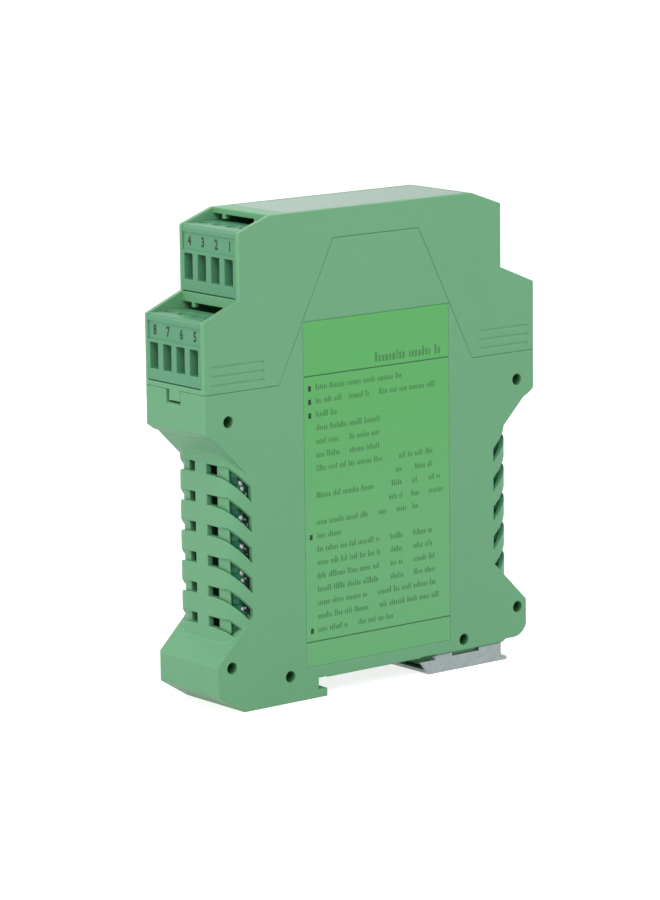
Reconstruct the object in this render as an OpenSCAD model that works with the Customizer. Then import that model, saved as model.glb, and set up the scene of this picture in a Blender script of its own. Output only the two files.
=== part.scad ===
// Signal isolator for a 35 mm mounting rail: a two-part housing with pluggable screw
// terminals on both ends, a sprung metal foot latch, and a circuit board inside.
// X runs along the housing, Y across its width and Z up from the foot, in millimetres.

/* [Base] */
// Overall length, across the faces of the lower plugs
body_l = 99; // [98:0.5:104]
// Width of the module
body_w = 22.5; // [22.5:0.1:25]
// Thickness of the long side walls of base and cover
wall_t = 1.2; // [1:0.05:1.3]
// Thickness of the base's end walls
end_wall_t = 1.5; // [1.2:0.1:1.8]
// Thickness of the floor over the rail seat
floor_t = 2; // [1.5:0.1:2.4]
// Length of the waist that holds the vents
waist_l = 85; // [84:0.5:87]
// Radius of the waist's upright corners
corner_r = 5; // [4.5:0.1:6]
// Radius of the upright edges of the wide parts
edge_r = 0.5; // [0.3:0.1:1]
// Height of the parting line between base and cover
base_z = 75; // [73:0.5:80]
// Height where the ends start to slope in to the waist
chin_z = 63.9; // [62:0.1:65]
// How far the rounded chin lies in from the end
chin_in = 3.4; // [2.5:0.1:4]
// Height of the rounded chin
chin_rise = 2.1; // [1.5:0.1:3]
// Gap along the parting line and round the tongue
cover_gap = 0.1; // [0.08:0.01:0.3]

/* [Foot] */
// Length across the foot
foot_l = 94; // [92:0.2:96]
// Height of the foot's left shoulder
foot_left_z = 11.6; // [10:0.1:13]
// Height of the foot's right shoulder
foot_right_z = 13.9; // [12:0.1:15]
// Radius under the right shoulder
foot_right_r = 4.2; // [2.5:0.1:4.6]
// Height of the right shoulder's underside
foot_toe_z = 5.2; // [4.8:0.1:6]
// Height of the left foot's lower edge
foot_edge_z = 4.8; // [3:0.1:6]
// Length of the chamfer under the left foot
foot_chamfer_l = 7.7; // [5:0.1:10]
// Height of the face that seats on the rail
seat_z = 4.5; // [4.3:0.1:5.2]
// Depth of the reliefs in the seat over the hook and the latch's nose
seat_relief = 0.2; // [0.1:0.05:0.3]
// Distance from the middle to the right end of the seat
seat_end_x = 39; // [38.5:0.1:40]
// Width of the mounting rail
rail_w = 35; // [35:0.1:35.4]
// Thickness of the mounting rail's flanges
rail_t = 1; // [0.8:0.1:1.2]
// Thickness of the fixed hook
hook_t = 1.9; // [1.6:0.1:2.2]
// How far the fixed hook reaches under the rail
hook_bite = 2.5; // [2:0.1:3]

/* [Vents] */
// Number of vent slots at each end
vent_count = 6; // [3:1:6]
// Distance from one vent slot to the next
vent_pitch = 7.15; // [6.8:0.05:7.3]
// Height of the highest vent slot's top edge
vent_top_z = 57.5; // [56:0.5:58]
// Height of a vent slot on the end face
vent_h = 2.5; // [2:0.1:3]
// Height of a vent slot where it slopes down the side
vent_side_h = 3.4; // [2.8:0.1:3.8]
// Width of the solid band between the vents of the end face
vent_band_w = 4.3; // [3:0.1:6]
// How far the vents reach along the sides
vent_reach = 6; // [5:0.1:6.5]
// How deep the upright posts lie behind the slats
post_inset = 0.8; // [0.6:0.1:1]
// Thickness of the upright posts
post_t = 1.3; // [1:0.1:1.4]
// Length of the posts' flat part beside the corner
post_flat_l = 0.95; // [0.5:0.05:1.4]

/* [Tongue and side label] */
// Height of the top of the base's side tongues
tongue_z = 107.6; // [100:0.1:109]
// Length of a tongue at the parting line
tongue_base_l = 58; // [57.6:0.1:59]
// Length of a tongue at its top
tongue_top_l = 25.4; // [24:0.1:30]
// Place of the tongues' middle along the housing
tongue_x = 1; // [0.4:0.1:1.4]
// Length of the side label
label_l = 43.8; // [35:0.1:43.8]
// Height of the side label's lower edge
label_low_z = 7.5; // [7:0.5:20]
// Height of the side label's upper edge
label_high_z = 89; // [70:0.5:89]
// Thickness of the side label
label_t = 0.15; // [0.1:0.05:0.2]
// How far the side label lies below the wall's face
label_sink = 0.05; // [0.02:0.01:0.1]
// Place of the side label's middle along the housing
label_x = 0.9; // [0.7:0.1:1]

/* [Keying holes] */
// Radius of the keying holes in the side walls
key_r = 1.4; // [1:0.1:1.6]
// Radius of the bosses behind the keying holes
key_boss_r = 2.5; // [2.2:0.1:2.6]
// Length of the bosses behind the keying holes
key_boss_l = 3; // [2:0.5:5]
// Height of the upper keying holes
key_high_z = 68.3; // [68:0.1:68.6]
// Height of the left foot's outer keying holes
key_left_z = 10.9; // [10.6:0.1:11.6]
// Height of the right foot's outer keying holes
key_right_z = 12.5; // [11.6:0.1:12.7]
// Height of the left foot's inner keying holes
key_in_left_z = 6.2; // [6:0.1:7]
// Height of the right foot's inner keying holes
key_in_right_z = 7; // [6.8:0.1:7.2]
// Half the distance between the outer keying holes
key_out_x = 43.4; // [43:0.1:43.6]
// Half the distance between the inner keying holes
key_in_x = 26.4; // [26:0.1:26.8]
// Place of the middle between the keying holes
key_mid_x = 0.6; // [0:0.1:0.7]

/* [Cover] */
// Length across the faces of the upper plugs
upper_l = 78.5; // [78:0.1:79]
// Length of the flat top
top_l = 60.2; // [59:0.1:61]
// Thickness of the top
top_t = 1.3; // [1.2:0.1:2]
// Thickness of the shelves under the upper plugs
shelf_t = 2.3; // [1.5:0.1:2.5]
// Free height over each plug
head_gap = 1.7; // [1.5:0.1:2.2]
// Gap under each plug
plug_play = 0.3; // [0.2:0.05:0.4]
// Gap on each side of a plug
side_gap = 0.1; // [0.08:0.01:0.15]
// Thickness of the floors under the lower plugs
bay_floor_t = 1.15; // [1:0.05:1.5]
// How far the side walls stay below the plugs' tops at their faces
wall_dip = 0.3; // [0.2:0.1:0.6]
// Width of the snap tabs at the ends
tab_w = 4.2; // [3:0.1:6]
// Thickness of the snap tabs
tab_t = 1.2; // [1:0.1:1.4]
// How far the snap tabs reach down over the base
tab_drop = 2.4; // [2:0.1:3.5]
// Width of the release slot beside each snap tab
tab_slot_w = 1.1; // [0.8:0.1:1.6]
// Gap below the snap tabs
tab_gap = 0.6; // [0.3:0.05:0.8]
// Chamfer on the base under the snap tabs
tab_edge = 0.5; // [0.3:0.1:0.7]
// Number of grip grooves over the parting line at each end
grip_count = 3; // [2:1:3]
// Distance from one grip groove to the next
grip_pitch = 2.1; // [1.6:0.1:2.4]
// Height of a grip groove
grip_h = 0.5; // [0.3:0.05:0.7]
// Depth of a grip groove
grip_d = 0.15; // [0.1:0.05:0.3]
// Length of a grip groove
grip_l = 15; // [10:0.5:16]
// Width and length of the small lugs under the cover's lips
lug_w = 1.2; // [1:0.1:1.6]
// Height of the small lugs
lug_h = 1.1; // [0.8:0.1:1.2]
// Distance from the middle to the lugs
lug_y = 6; // [4:0.1:7]

/* [Front plate] */
// Length of the front plate on the top
plate_l = 53.5; // [40:0.5:54]
// How far the front plate's long edges lie inside the side walls
plate_side_in = 0.15; // [0.05:0.05:2]
// Thickness of the front plate
plate_t = 0.6; // [0.4:0.05:0.7]
// Place of the front plate's middle along the top
plate_x = 2.2; // [1.8:0.1:2.4]
// Gap round the front plate
plate_gap = 0.1; // [0.05:0.05:0.2]

/* [Plugs] */
// Plastic left between the outer screw wells and a plug's sides
well_side = 0.35; // [0.3:0.01:0.4]
// Height of a plug
plug_h = 15.3; // [15:0.1:16]
// Length of a plug's block, from its face to its step
block_l = 10.4; // [10:0.1:11]
// Length of the nose that enters the header
nose_l = 8; // [7:0.1:9]
// Height of the nose
nose_h = 7; // [6.6:0.1:7.2]
// Height of the nose over the plug's bottom
nose_z = 2.4; // [2:0.1:2.6]
// Chamfer along the top edge of a plug's face
plug_edge = 0.7; // [0.3:0.1:1]
// Plastic between neighbouring wire entries
wire_rib = 1.88; // [1.68:0.02:2.4]
// Height of a wire entry
wire_h = 6.1; // [4:0.1:6.4]
// Height of the wire entries over the plug's bottom
wire_z = 2.6; // [2.2:0.1:3]
// Height of the number band over the plug's bottom
band_z = 9.4; // [9.2:0.1:9.6]
// Height of the number band
band_h = 4.2; // [3:0.1:4.4]
// Depth of the number band
band_d = 0.4; // [0.2:0.1:0.6]
// How far each plug pulls out
plug_travel = 20; // [19:0.5:25]

/* [Clamps] */
// Distance from a plug's face to its clamp screws
clamp_x = 5.6; // [5.4:0.1:5.8]
// Plastic between neighbouring screw wells
well_rib = 1.12; // [1.02:0.02:1.3]
// How far a screw's head stands out beyond its shank
head_edge = 0.4; // [0.4:0.02:0.5]
// Height of a clamp screw's head
head_h = 1.4; // [1.2:0.1:1.6]
// Width of the driver slot
driver_w = 0.7; // [0.5:0.05:0.9]
// Depth of the driver slot
driver_d = 0.8; // [0.5:0.1:1]
// Radial running gap round the screw's head and shank
screw_gap = 0.08; // [0.05:0.01:0.1]
// Thickness of the plastic under a screw's head
shoulder_t = 0.6; // [0.5:0.1:0.8]
// Plastic between neighbouring cages
cage_rib = 0.84; // [0.74:0.02:0.94]
// Length of a clamp cage
cage_l = 4.8; // [4.4:0.1:5]
// Thickness of a cage's sides
cage_side_t = 0.5; // [0.4:0.05:0.6]
// Thickness of a cage's bottom
cage_low_t = 0.8; // [0.6:0.1:1]
// Thickness of a cage's threaded top
cage_top_t = 1.4; // [1.2:0.1:1.6]
// Height of the window through a cage
window_h = 5.2; // [5:0.1:5.4]
// Height of an open cage over the plug's bottom
cage_z = 1.8; // [1.6:0.1:2]
// How far the screws lift the cages
cage_lift = 3; // [2:0.1:3]
// Gap round a cage, along and under it
cage_play = 0.3; // [0.2:0.05:0.35]
// Gap on each side of a cage
cage_gap = 0.12; // [0.08:0.02:0.14]

/* [Contacts and headers] */
// Width of a header pin
pin_w = 1; // [0.8:0.05:1]
// Gap between a pin and what it passes
pin_gap = 0.05; // [0.02:0.01:0.08]
// Thickness of a contact's strip and blades
strip_t = 0.35; // [0.3:0.05:0.4]
// Thickness of the bar that the wire is clamped against
bar_t = 0.8; // [0.6:0.05:0.8]
// Height of a contact's blades
blade_h = 2.8; // [2.6:0.1:2.9]
// Gap round a contact in the nose
contact_gap = 0.13; // [0.1:0.01:0.2]
// Thickness of the nose's front wall
nose_tip_t = 0.6; // [0.5:0.1:0.8]
// Thickness of a header's shroud, above and below the nose
shroud_t = 0.9; // [0.8:0.1:1]
// Thickness of a header's sides
shroud_side_t = 0.5; // [0.5:0.05:0.6]
// Thickness of a header's back
header_back_t = 1.5; // [1.2:0.1:1.8]
// Gap between a plug and its header
mate_gap = 0.15; // [0.1:0.01:0.2]
// Distance between the bends of neighbouring pins
pin_step = 2.2; // [2:0.1:2.4]
// Length of a pin in the plug's contact
pin_reach = 6.5; // [5:0.1:6.8]

/* [Foot latch] */
// How far the latch's sides lie inside the housing's faces
latch_inset = 0.35; // [0.15:0.05:1.2]
// Thickness of the latch's sheet metal
sheet_t = 0.8; // [0.6:0.05:0.9]
// How far the latch reaches under the rail
nose_bite = 3.7; // [3:0.1:3.8]
// How far the slanted nose leans back
nose_lean = 2.6; // [1.5:0.1:3]
// Free height under the rail flange at the nose
nose_gap = 0.2; // [0.1:0.05:0.6]
// Distance from the middle to the end of the latch's sides
latch_end_x = 38.9; // [38.5:0.1:39]
// Length of the pull lip
lip_l = 1.8; // [1.6:0.1:2.6]
// Width of the driver slot in the pull lip
lip_slot_w = 5; // [4:0.5:8]
// Length of the driver slot in the pull lip
lip_slot_l = 0.9; // [0.7:0.1:1]
// Gap between the latch and the base
latch_gap = 0.2; // [0.15:0.05:0.3]
// How far the latch pulls out
latch_travel = 4; // [3.8:0.1:4.2]
// Length of the ears that run in the base's grooves
ear_l = 4.2; // [3:0.1:4.4]
// How far the ears reach into the grooves
ear_d = 1; // [0.8:0.1:1.2]
// Radius of the return spring's coils
spring_r = 1.25; // [1.1:0.05:1.3]
// Diameter of the return spring's wire
wire_d = 0.4; // [0.3:0.05:0.45]
// Number of turns of the return spring
spring_turns = 8; // [5:1:8]
// Length of the return spring
spring_l = 10.8; // [10:0.1:11]

/* [Circuit board] */
// Thickness of the board
board_t = 1.2; // [1:0.1:1.2]
// Length of the board in the waist
board_l = 76.4; // [70:0.1:76.4]
// Height of the board's lower edge
board_low_z = 10.4; // [10.2:0.1:12]
// Gap between the board and what holds it
board_gap = 0.1; // [0.05:0.05:0.15]
// Free space between the pins' tails and the side wall
tail_play = 0.2; // [0.15:0.05:0.4]
// Length of the transformer core
core_l = 20; // [18:0.5:24]
// Height of the transformer core
core_h = 18; // [16:0.5:20]
// Thickness of the transformer core
core_t = 6; // [5:0.1:7]
// Height of the transformer's middle
core_z = 46; // [40:0.5:50]
// Radius of the filter capacitors
cap_r = 4; // [3:0.1:4.5]
// Length of the filter capacitors
cap_l = 11; // [8:0.5:14]
// Length of an optocoupler
opto_l = 9.6; // [8:0.1:10]
// Height of an optocoupler
opto_h = 3.4; // [3:0.1:4]
// Length of a control chip
chip_l = 10; // [8:0.1:11]
// Height of a control chip
chip_h = 1.8; // [1.5:0.1:2.4]

/* [Hidden] */
$fn = 48;

shell_green = [0.44, 0.66, 0.50];
plug_green = [0.41, 0.63, 0.51];
label_green = [0.38, 0.70, 0.40];
plate_grey = [0.70, 0.74, 0.72];
sheet_metal = [0.67, 0.70, 0.72];
tin_metal = [0.78, 0.78, 0.75];
board_green = [0.05, 0.35, 0.24];
part_black = [0.10, 0.10, 0.11];
ferrite_grey = [0.25, 0.25, 0.27];
copper_red = [0.72, 0.40, 0.20];
can_blue = [0.14, 0.17, 0.30];

// One overrun for every cut
over = 1;
// A number of turns times this gives degrees
turn = 360;

// Heights that stack up from the parting line to the top
bay_z = base_z + cover_gap + bay_floor_t;
low_plug_z = bay_z + plug_play;
low_roof_z = low_plug_z + plug_h + head_gap;
shelf_z = low_roof_z + shelf_t;
high_plug_z = shelf_z + plug_play;
high_roof_z = high_plug_z + plug_h + head_gap;
top_z = high_roof_z + top_t;
base_top_z = base_z;
cover_low_z = base_z + cover_gap;
floor_z = seat_z + floor_t;

// Places that the base shares with what it carries
inner_w = body_w - 2 * wall_t;
wall_y = (inner_w + wall_t) / 2;
plate_w = inner_w - 2 * plate_side_in;
latch_w = body_w - 2 * latch_inset;
post_y = body_w / 2 - corner_r - post_flat_l;
label_back_y = label_sink + label_t - body_w / 2;
chin_x = body_l / 2 - chin_in;
vent_tip_x = waist_l / 2 - vent_reach;
hook_slot_x = -rail_w / 2;
nose_x = rail_w / 2 - nose_bite;
nose_top_z = seat_z - rail_t - nose_gap;

// Plug, header and clamp sizes that follow from each other
plug_w = inner_w - 2 * side_gap;
poles = 4;
pitch = (plug_w + well_rib - 2 * well_side) / poles;
wire_w = pitch - wire_rib;
cage_w = pitch - cage_rib - 2 * cage_gap;
head_r = (pitch - well_rib) / 2 - screw_gap;
screw_r = head_r - head_edge;
nose_w = plug_w - 2 * (shroud_side_t + mate_gap);
plug_l = block_l + nose_l;
cage_h = cage_low_t + window_h + cage_top_t;
pocket_low_z = cage_z - cage_play;
pocket_high_z = cage_z + cage_h + cage_lift + cage_play;
head_z = pocket_high_z + shoulder_t;
bar_z = cage_z + cage_low_t + window_h - bar_t - 2 * pin_gap;
bar_top_z = bar_z + bar_t;
pin_z = bar_z - pin_gap - pin_w / 2;
blade_y = pin_w / 2 + pin_gap;
contact_w = 2 * (blade_y + strip_t);
contact_x0 = clamp_x - cage_l / 2;
contact_x1 = plug_l - nose_tip_t - contact_gap;
header_x0 = block_l + mate_gap;
header_x1 = plug_l + mate_gap + header_back_t;
board_edge_x = header_x1 + mate_gap + pin_gap;
first_bend_x = board_edge_x + pin_w;
pole_ys = [for (k = [0:poles - 1]) (k - (poles - 1) / 2) * pitch];
// The board's inner face lies just under the lowest pins
board_y = pole_ys[0] - pin_w / 2 - board_gap;
board_back_y = board_y - board_t;
tail_l = inner_w / 2 + board_back_y - tail_play;

// Plug 1 and 2 are the upper and lower ones at the left end, 3 and 4 those at the right
function plug_side(n) = n <= 2 ? -1 : 1;
function plug_face_x(n) = (n % 2 == 1 ? upper_l : body_l) / 2;
function plug_low_z(n) = n % 2 == 1 ? high_plug_z : low_plug_z;
function clamp_plug(n) = ceil(n / 4);
function clamp_pole(n) = (n - 1) % 4;

module at_plug(n) {
    scale_x = plug_side(n);
    translate([scale_x * plug_face_x(n), 0, plug_low_z(n)])
        if (scale_x < 0) children();
        else mirror([1, 0, 0]) children();
}

module both_ends() {
    children();
    mirror([1, 0, 0]) children();
}

module both_sides() {
    children();
    mirror([0, 1, 0]) children();
}

// A profile in X and Z, extruded across the width and centred on Y
module across(w) {
    rotate([90, 0, 0]) linear_extrude(height = w, center = true) children();
}

module block(x0, x1, y0, y1, z0, z1) {
    translate([x0, y0, z0]) cube([x1 - x0, y1 - y0, z1 - z0]);
}

module round_plan(l, w, r) {
    square([l - 2 * r, w], center = true);
    square([l, w - 2 * r], center = true);
    for (sx = [-1, 1], sy = [-1, 1])
        translate([sx * (l / 2 - r), sy * (w / 2 - r)]) circle(r);
}

module round_block(l, w, r, z0, z1) {
    translate([0, 0, z0]) linear_extrude(height = z1 - z0) round_plan(l, w, r);
}

// The 45 degree line under each chin, moved up by the wall where it is an inner face
function chin_line(x, wall) = chin_z - (chin_x - x) + wall * sqrt(2);

module chin_profile(wall) {
    end_x = body_l / 2 - wall;
    turn_shares = [0.55, 0.67];
    low = [
        [vent_tip_x, chin_line(vent_tip_x, wall)],
        if (wall == 0) [chin_x, chin_z],
        if (wall == 0) [chin_x + chin_in * (1 - turn_shares[0]), chin_z + chin_rise * (1 - turn_shares[1])],
        [end_x, wall == 0 ? chin_z + chin_rise : chin_line(end_x, wall)],
        [end_x, wall == 0 ? base_top_z : base_top_z + over]
    ];
    n = len(low);
    polygon(concat(low, [for (i = [n - 1:-1:0]) [-low[i][0], low[i][1]]]));
}

function left_slope(x) = foot_left_z + foot_l / 2 - x;
function right_slope(x) = foot_right_z + foot_l / 2 - x;

module left_foot_profile() {
    end_x = foot_l / 2;
    polygon([
        [-vent_tip_x, left_slope(vent_tip_x)],
        [-end_x, foot_left_z],
        [-end_x, foot_edge_z],
        [foot_chamfer_l - end_x, 0],
        [hook_slot_x + hook_bite, 0],
        [hook_slot_x + hook_bite, hook_t],
        [hook_slot_x, hook_t],
        [hook_slot_x, seat_z],
        [0, seat_z],
        [0, floor_z],
        [hook_slot_x, floor_z]
    ]);
}

module left_foot_hollow() {
    end_x = foot_l / 2 - end_wall_t;
    slant = end_wall_t * sqrt(2);
    low_z = hook_t;
    chamfer_rise_share = foot_edge_z / foot_chamfer_l;
    polygon([
        [-vent_tip_x, left_slope(vent_tip_x) - slant],
        [-end_x, foot_left_z - slant + end_wall_t],
        [-end_x, foot_edge_z + end_wall_t - end_wall_t * chamfer_rise_share],
        [-end_x + foot_chamfer_l / 2, low_z + end_wall_t],
        [hook_slot_x - end_wall_t, low_z],
        [hook_slot_x - end_wall_t, floor_z + over],
        [-vent_tip_x, floor_z + over]
    ]);
}

module right_foot_profile() {
    end_x = foot_l / 2;
    arc_x = end_x - foot_right_r;
    arc_z = foot_toe_z + foot_right_r;
    polygon(concat(
        [[0, floor_z], [0, seat_z], [seat_end_x, seat_z], [seat_end_x + wall_t, foot_toe_z]],
        [for (a = [-90:15:0]) [arc_x + foot_right_r * cos(a), arc_z + foot_right_r * sin(a)]],
        [[end_x, foot_right_z], [vent_tip_x, right_slope(vent_tip_x)]]
    ));
}

module right_foot_hollow() {
    end_x = foot_l / 2 - end_wall_t;
    slant = end_wall_t * sqrt(2);
    polygon([
        [vent_tip_x, floor_z],
        [seat_end_x, floor_z],
        [end_x - end_wall_t, floor_z + end_wall_t],
        [end_x, floor_z + 2 * end_wall_t],
        [end_x, foot_right_z - slant + end_wall_t],
        [vent_tip_x, right_slope(vent_tip_x) - slant]
    ]);
}

// Tongue outline, grown by a gap where it is the hole in the cover
module tongue_profile(gap) {
    translate([tongue_x, 0]) polygon([
        [-tongue_base_l / 2 - gap, base_z - over],
        [-tongue_base_l / 2 - gap, base_z],
        [-tongue_top_l / 2 - gap, tongue_z + gap],
        [tongue_top_l / 2 + gap, tongue_z + gap],
        [tongue_base_l / 2 + gap, base_z],
        [tongue_base_l / 2 + gap, base_z - over]
    ]);
}

// One vent: a level slot in the end face that turns the corner and slopes down the side
module vent_cut(top) {
    low_z = top - vent_h;
    face_x = waist_l / 2;
    side_top_z = low_z - vent_reach + vent_side_h;
    both_sides() {
        block(-face_x - over, end_wall_t + post_inset - face_x, vent_band_w / 2, post_y + corner_r / 2,
              low_z, top);
        translate([0, (post_y + body_w / 2 + over) / 2, 0]) across(body_w / 2 + over - post_y) polygon([
            [-face_x - over, low_z + over],
            [-vent_tip_x, low_z - vent_reach],
            [-vent_tip_x, side_top_z],
            [-vent_tip_x - (top - side_top_z), top],
            [-face_x - over, top]
        ]);
    }
}

module vents() {
    for (n = [0:vent_count - 1]) vent_cut(vent_top_z - n * vent_pitch);
}

// The upright post behind the slats of one corner, a slice of a ring and a flat return
module vent_posts() {
    low_z = vent_top_z - (vent_count - 1) * vent_pitch - vent_h - over;
    post_r = corner_r - post_inset;
    sweep_angle = 35;
    translate([0, 0, low_z]) linear_extrude(height = vent_top_z + over - low_z)
        for (sy = [-1, 1]) scale([1, sy]) {
            translate([corner_r - waist_l / 2, body_w / 2 - corner_r]) difference() {
                circle(post_r);
                circle(post_r - post_t);
                polygon([
                    [0, 0],
                    [-2 * corner_r * cos(sweep_angle), 2 * corner_r * sin(sweep_angle)],
                    [0, 2 * corner_r],
                    [2 * corner_r, 2 * corner_r],
                    [2 * corner_r, -2 * corner_r],
                    [-2 * corner_r, -2 * corner_r],
                    [-2 * corner_r, 0]
                ]);
            }
            translate([post_inset - waist_l / 2, post_y])
                square([post_t, body_w / 2 - corner_r - post_y]);
        }
}

key_places = [
    [key_mid_x - key_out_x, key_high_z],
    [key_mid_x + key_out_x, key_high_z],
    [key_mid_x - key_out_x, key_left_z],
    [key_mid_x + key_out_x, key_right_z],
    [key_mid_x - key_in_x, key_in_left_z],
    [key_mid_x + key_in_x, key_in_right_z]
];

module key_bosses() {
    for (p = key_places) both_sides()
        translate([p[0], inner_w / 2 - key_boss_l, p[1]])
            rotate([-90, 0, 0]) cylinder(r = key_boss_r, h = key_boss_l + wall_t / 2);
}

module key_holes() {
    for (p = key_places) both_sides()
        translate([p[0], inner_w / 2 - key_boss_l - over, p[1]])
            rotate([-90, 0, 0]) cylinder(r = key_r, h = key_boss_l + wall_t + 2 * over);
}

// The keel under the seat, between the sides of the foot latch
latch_inner_w = latch_w - 2 * sheet_t;
keel_w = latch_inner_w - 2 * latch_gap;
keel_low_z = sheet_t + latch_gap;
keel_x0 = rail_w / 2 + latch_gap + wall_t / 2;
ear_x = keel_x0 + latch_travel;
ear_z = (keel_low_z + seat_z - sheet_t) / 2;
spring_tab_x = ear_x + ear_l / 2;
spring_x = spring_tab_x + sheet_t;
spring_pocket_x1 = spring_x + spring_l;
spring_z = sheet_t + spring_r + wire_d / 2 + latch_gap;
spring_tab_h = spring_r + wire_d / 2 + spring_z - latch_gap;
pocket_top_z = spring_z + spring_r + wire_d / 2 + latch_gap;

module keel() {
    groove_w = ear_d + latch_gap;
    tab_w2 = 2 * (spring_r + wire_d);
    difference() {
        block(keel_x0, seat_end_x, -keel_w / 2, keel_w / 2, keel_low_z, seat_z + floor_t / 2);
        both_sides()
            block(ear_x - latch_gap, ear_x + ear_l + latch_travel + latch_gap,
                  keel_w / 2 - groove_w, keel_w / 2 + over, ear_z - latch_gap, ear_z + sheet_t + latch_gap);
        block(spring_tab_x - latch_gap, spring_pocket_x1, -tab_w2 / 2, tab_w2 / 2,
              keel_low_z - over, pocket_top_z);
    }
}

board_foot_x = board_l / 6;
board_foot_l = 4 * wall_t;

module board_slot(x, z0, z1) {
    block(x - over - board_foot_l / 2, x + over + board_foot_l / 2,
          board_back_y - board_gap, board_y + board_gap, z0, z1);
}

module board_feet() {
    grip = 2 * wall_t;
    for (sx = [-1, 1]) difference() {
        block(sx * board_foot_x - board_foot_l / 2, sx * board_foot_x + board_foot_l / 2,
              -inner_w / 2 - wall_t / 2, board_y + wall_t, floor_z - floor_t / 2, board_low_z + grip);
        board_slot(sx * board_foot_x, board_low_z, board_low_z + grip + over);
    }
}

// The notch under a snap tab: wider on one side, for a release tool
module tab_notch() {
    low_z = base_top_z - tab_drop - tab_gap;
    translate([0, (tab_slot_w - cover_gap) / 2, 0]) across(tab_w + tab_slot_w + cover_gap) polygon([
        [-body_l / 2 - over, low_z - tab_edge - over],
        [tab_edge - body_l / 2, low_z],
        [end_wall_t + over - body_l / 2, low_z],
        [end_wall_t + over - body_l / 2, base_top_z + over],
        [-body_l / 2 - over, base_top_z + over]
    ]);
}

// Reliefs over the hook and the latch's nose, so that the rail lies on the seat between them
module seat_reliefs() {
    z0 = seat_z - over;
    block(hook_slot_x, hook_slot_x + hook_bite + seat_relief, -body_w, body_w, z0, seat_z + seat_relief);
    block(nose_x - seat_relief, keel_x0, -body_w, body_w, z0, seat_z + seat_relief);
}

module base() {
    color(shell_green) {
        difference() {
            union() {
                difference() {
                    round_block(waist_l, body_w, corner_r, seat_z, base_top_z);
                    both_ends() vents();
                }
                intersection() {
                    across(body_w) chin_profile(0);
                    round_block(body_l, body_w, edge_r, 0, base_top_z + over);
                }
                intersection() {
                    across(body_w) union() {
                        left_foot_profile();
                        right_foot_profile();
                    }
                    round_block(foot_l, body_w, edge_r, -over, base_top_z);
                }
                both_sides() translate([0, wall_y, 0]) across(wall_t) tongue_profile(0);
                keel();
            }
            round_block(waist_l - 2 * end_wall_t, inner_w, corner_r - wall_t, floor_z, base_top_z + over);
            across(inner_w) chin_profile(end_wall_t);
            across(inner_w) left_foot_hollow();
            across(inner_w) right_foot_hollow();
            both_ends() tab_notch();
            seat_reliefs();
            key_holes();
            block(label_x - label_l / 2, label_x + label_l / 2,
                  -body_w / 2 - over, label_back_y, label_low_z, label_high_z);
        }
        both_ends() vent_posts();
        difference() {
            key_bosses();
            key_holes();
        }
        board_feet();
    }
}

module cover_profile() {
    half = [
        [body_l / 2, cover_low_z],
        [body_l / 2, low_plug_z + plug_h - wall_dip],
        [upper_l / 2, shelf_z],
        [upper_l / 2, high_plug_z + plug_h - wall_dip],
        [top_l / 2, top_z]
    ];
    n = len(half);
    polygon(concat(half, [for (i = [n - 1:-1:0]) [-half[i][0], half[i][1]]]));
}

// The roof over one bay, with two small lugs under its front edge
module bay_roof(face_x, back_x, roof_z, t) {
    block(-face_x, -back_x, -body_w / 2, body_w / 2, roof_z, roof_z + t);
    both_sides()
        block(-face_x, lug_w - face_x, lug_y - lug_w / 2, lug_y + lug_w / 2, roof_z - lug_h, roof_z + t / 2);
}

module board_comb() {
    comb_l = board_foot_l;
    drop = 4 * wall_t;
    for (sx = [-1, 1]) difference() {
        block(sx * comb_l - comb_l / 2, sx * comb_l + comb_l / 2,
              -inner_w / 2 - wall_t / 2, board_y + wall_t, high_roof_z - drop, high_roof_z + top_t / 2);
        board_slot(sx * comb_l, high_roof_z - drop - over, board_high_z + board_gap);
    }
}

module grip_grooves() {
    for (n = [1:grip_count]) let (z = cover_low_z + n * grip_pitch - grip_h)
        both_ends() both_sides()
            block(2 * edge_r + wall_t - body_l / 2, 2 * edge_r + wall_t + grip_l - body_l / 2,
                  body_w / 2 - grip_d, body_w / 2 + over, z, z + grip_h);
}

module cover() {
    color(shell_green) intersection() {
        difference() {
            union() {
                both_sides() translate([0, wall_y, 0]) across(wall_t) difference() {
                    cover_profile();
                    tongue_profile(cover_gap);
                }
                both_ends() {
                    bay_roof(upper_l / 2, upper_l / 2 - block_l, low_roof_z, shelf_t);
                    block(-body_l / 2, block_l - body_l / 2, -body_w / 2, body_w / 2, cover_low_z, bay_z);
                    block(-body_l / 2, tab_t - body_l / 2, -tab_w / 2, tab_w / 2,
                          base_top_z - tab_drop, bay_z);
                }
                block(-top_l / 2, top_l / 2, -body_w / 2, body_w / 2, high_roof_z, top_z);
                both_ends() bay_roof(top_l / 2, top_l / 2 - 2 * lug_w, high_roof_z, top_t);
                board_comb();
            }
            block(plate_x - plate_l / 2 - plate_gap, plate_x + plate_l / 2 + plate_gap,
                  -plate_w / 2 - plate_gap, plate_w / 2 + plate_gap, top_z - plate_t, top_z + over);
            grip_grooves();
        }
        union() {
            round_block(body_l, body_w, edge_r, 0, shelf_z);
            round_block(upper_l, body_w, edge_r, 0, top_z + over);
        }
    }
}

module front_plate() {
    color(plate_grey)
        block(plate_x - plate_l / 2, plate_x + plate_l / 2, -plate_w / 2, plate_w / 2, top_z - plate_t, top_z);
}

module side_label() {
    color(label_green)
        block(label_x - label_l / 2 + plate_gap, label_x + label_l / 2 - plate_gap,
              label_back_y - label_t, label_back_y, label_low_z + plate_gap, label_high_z - plate_gap);
}

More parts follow.
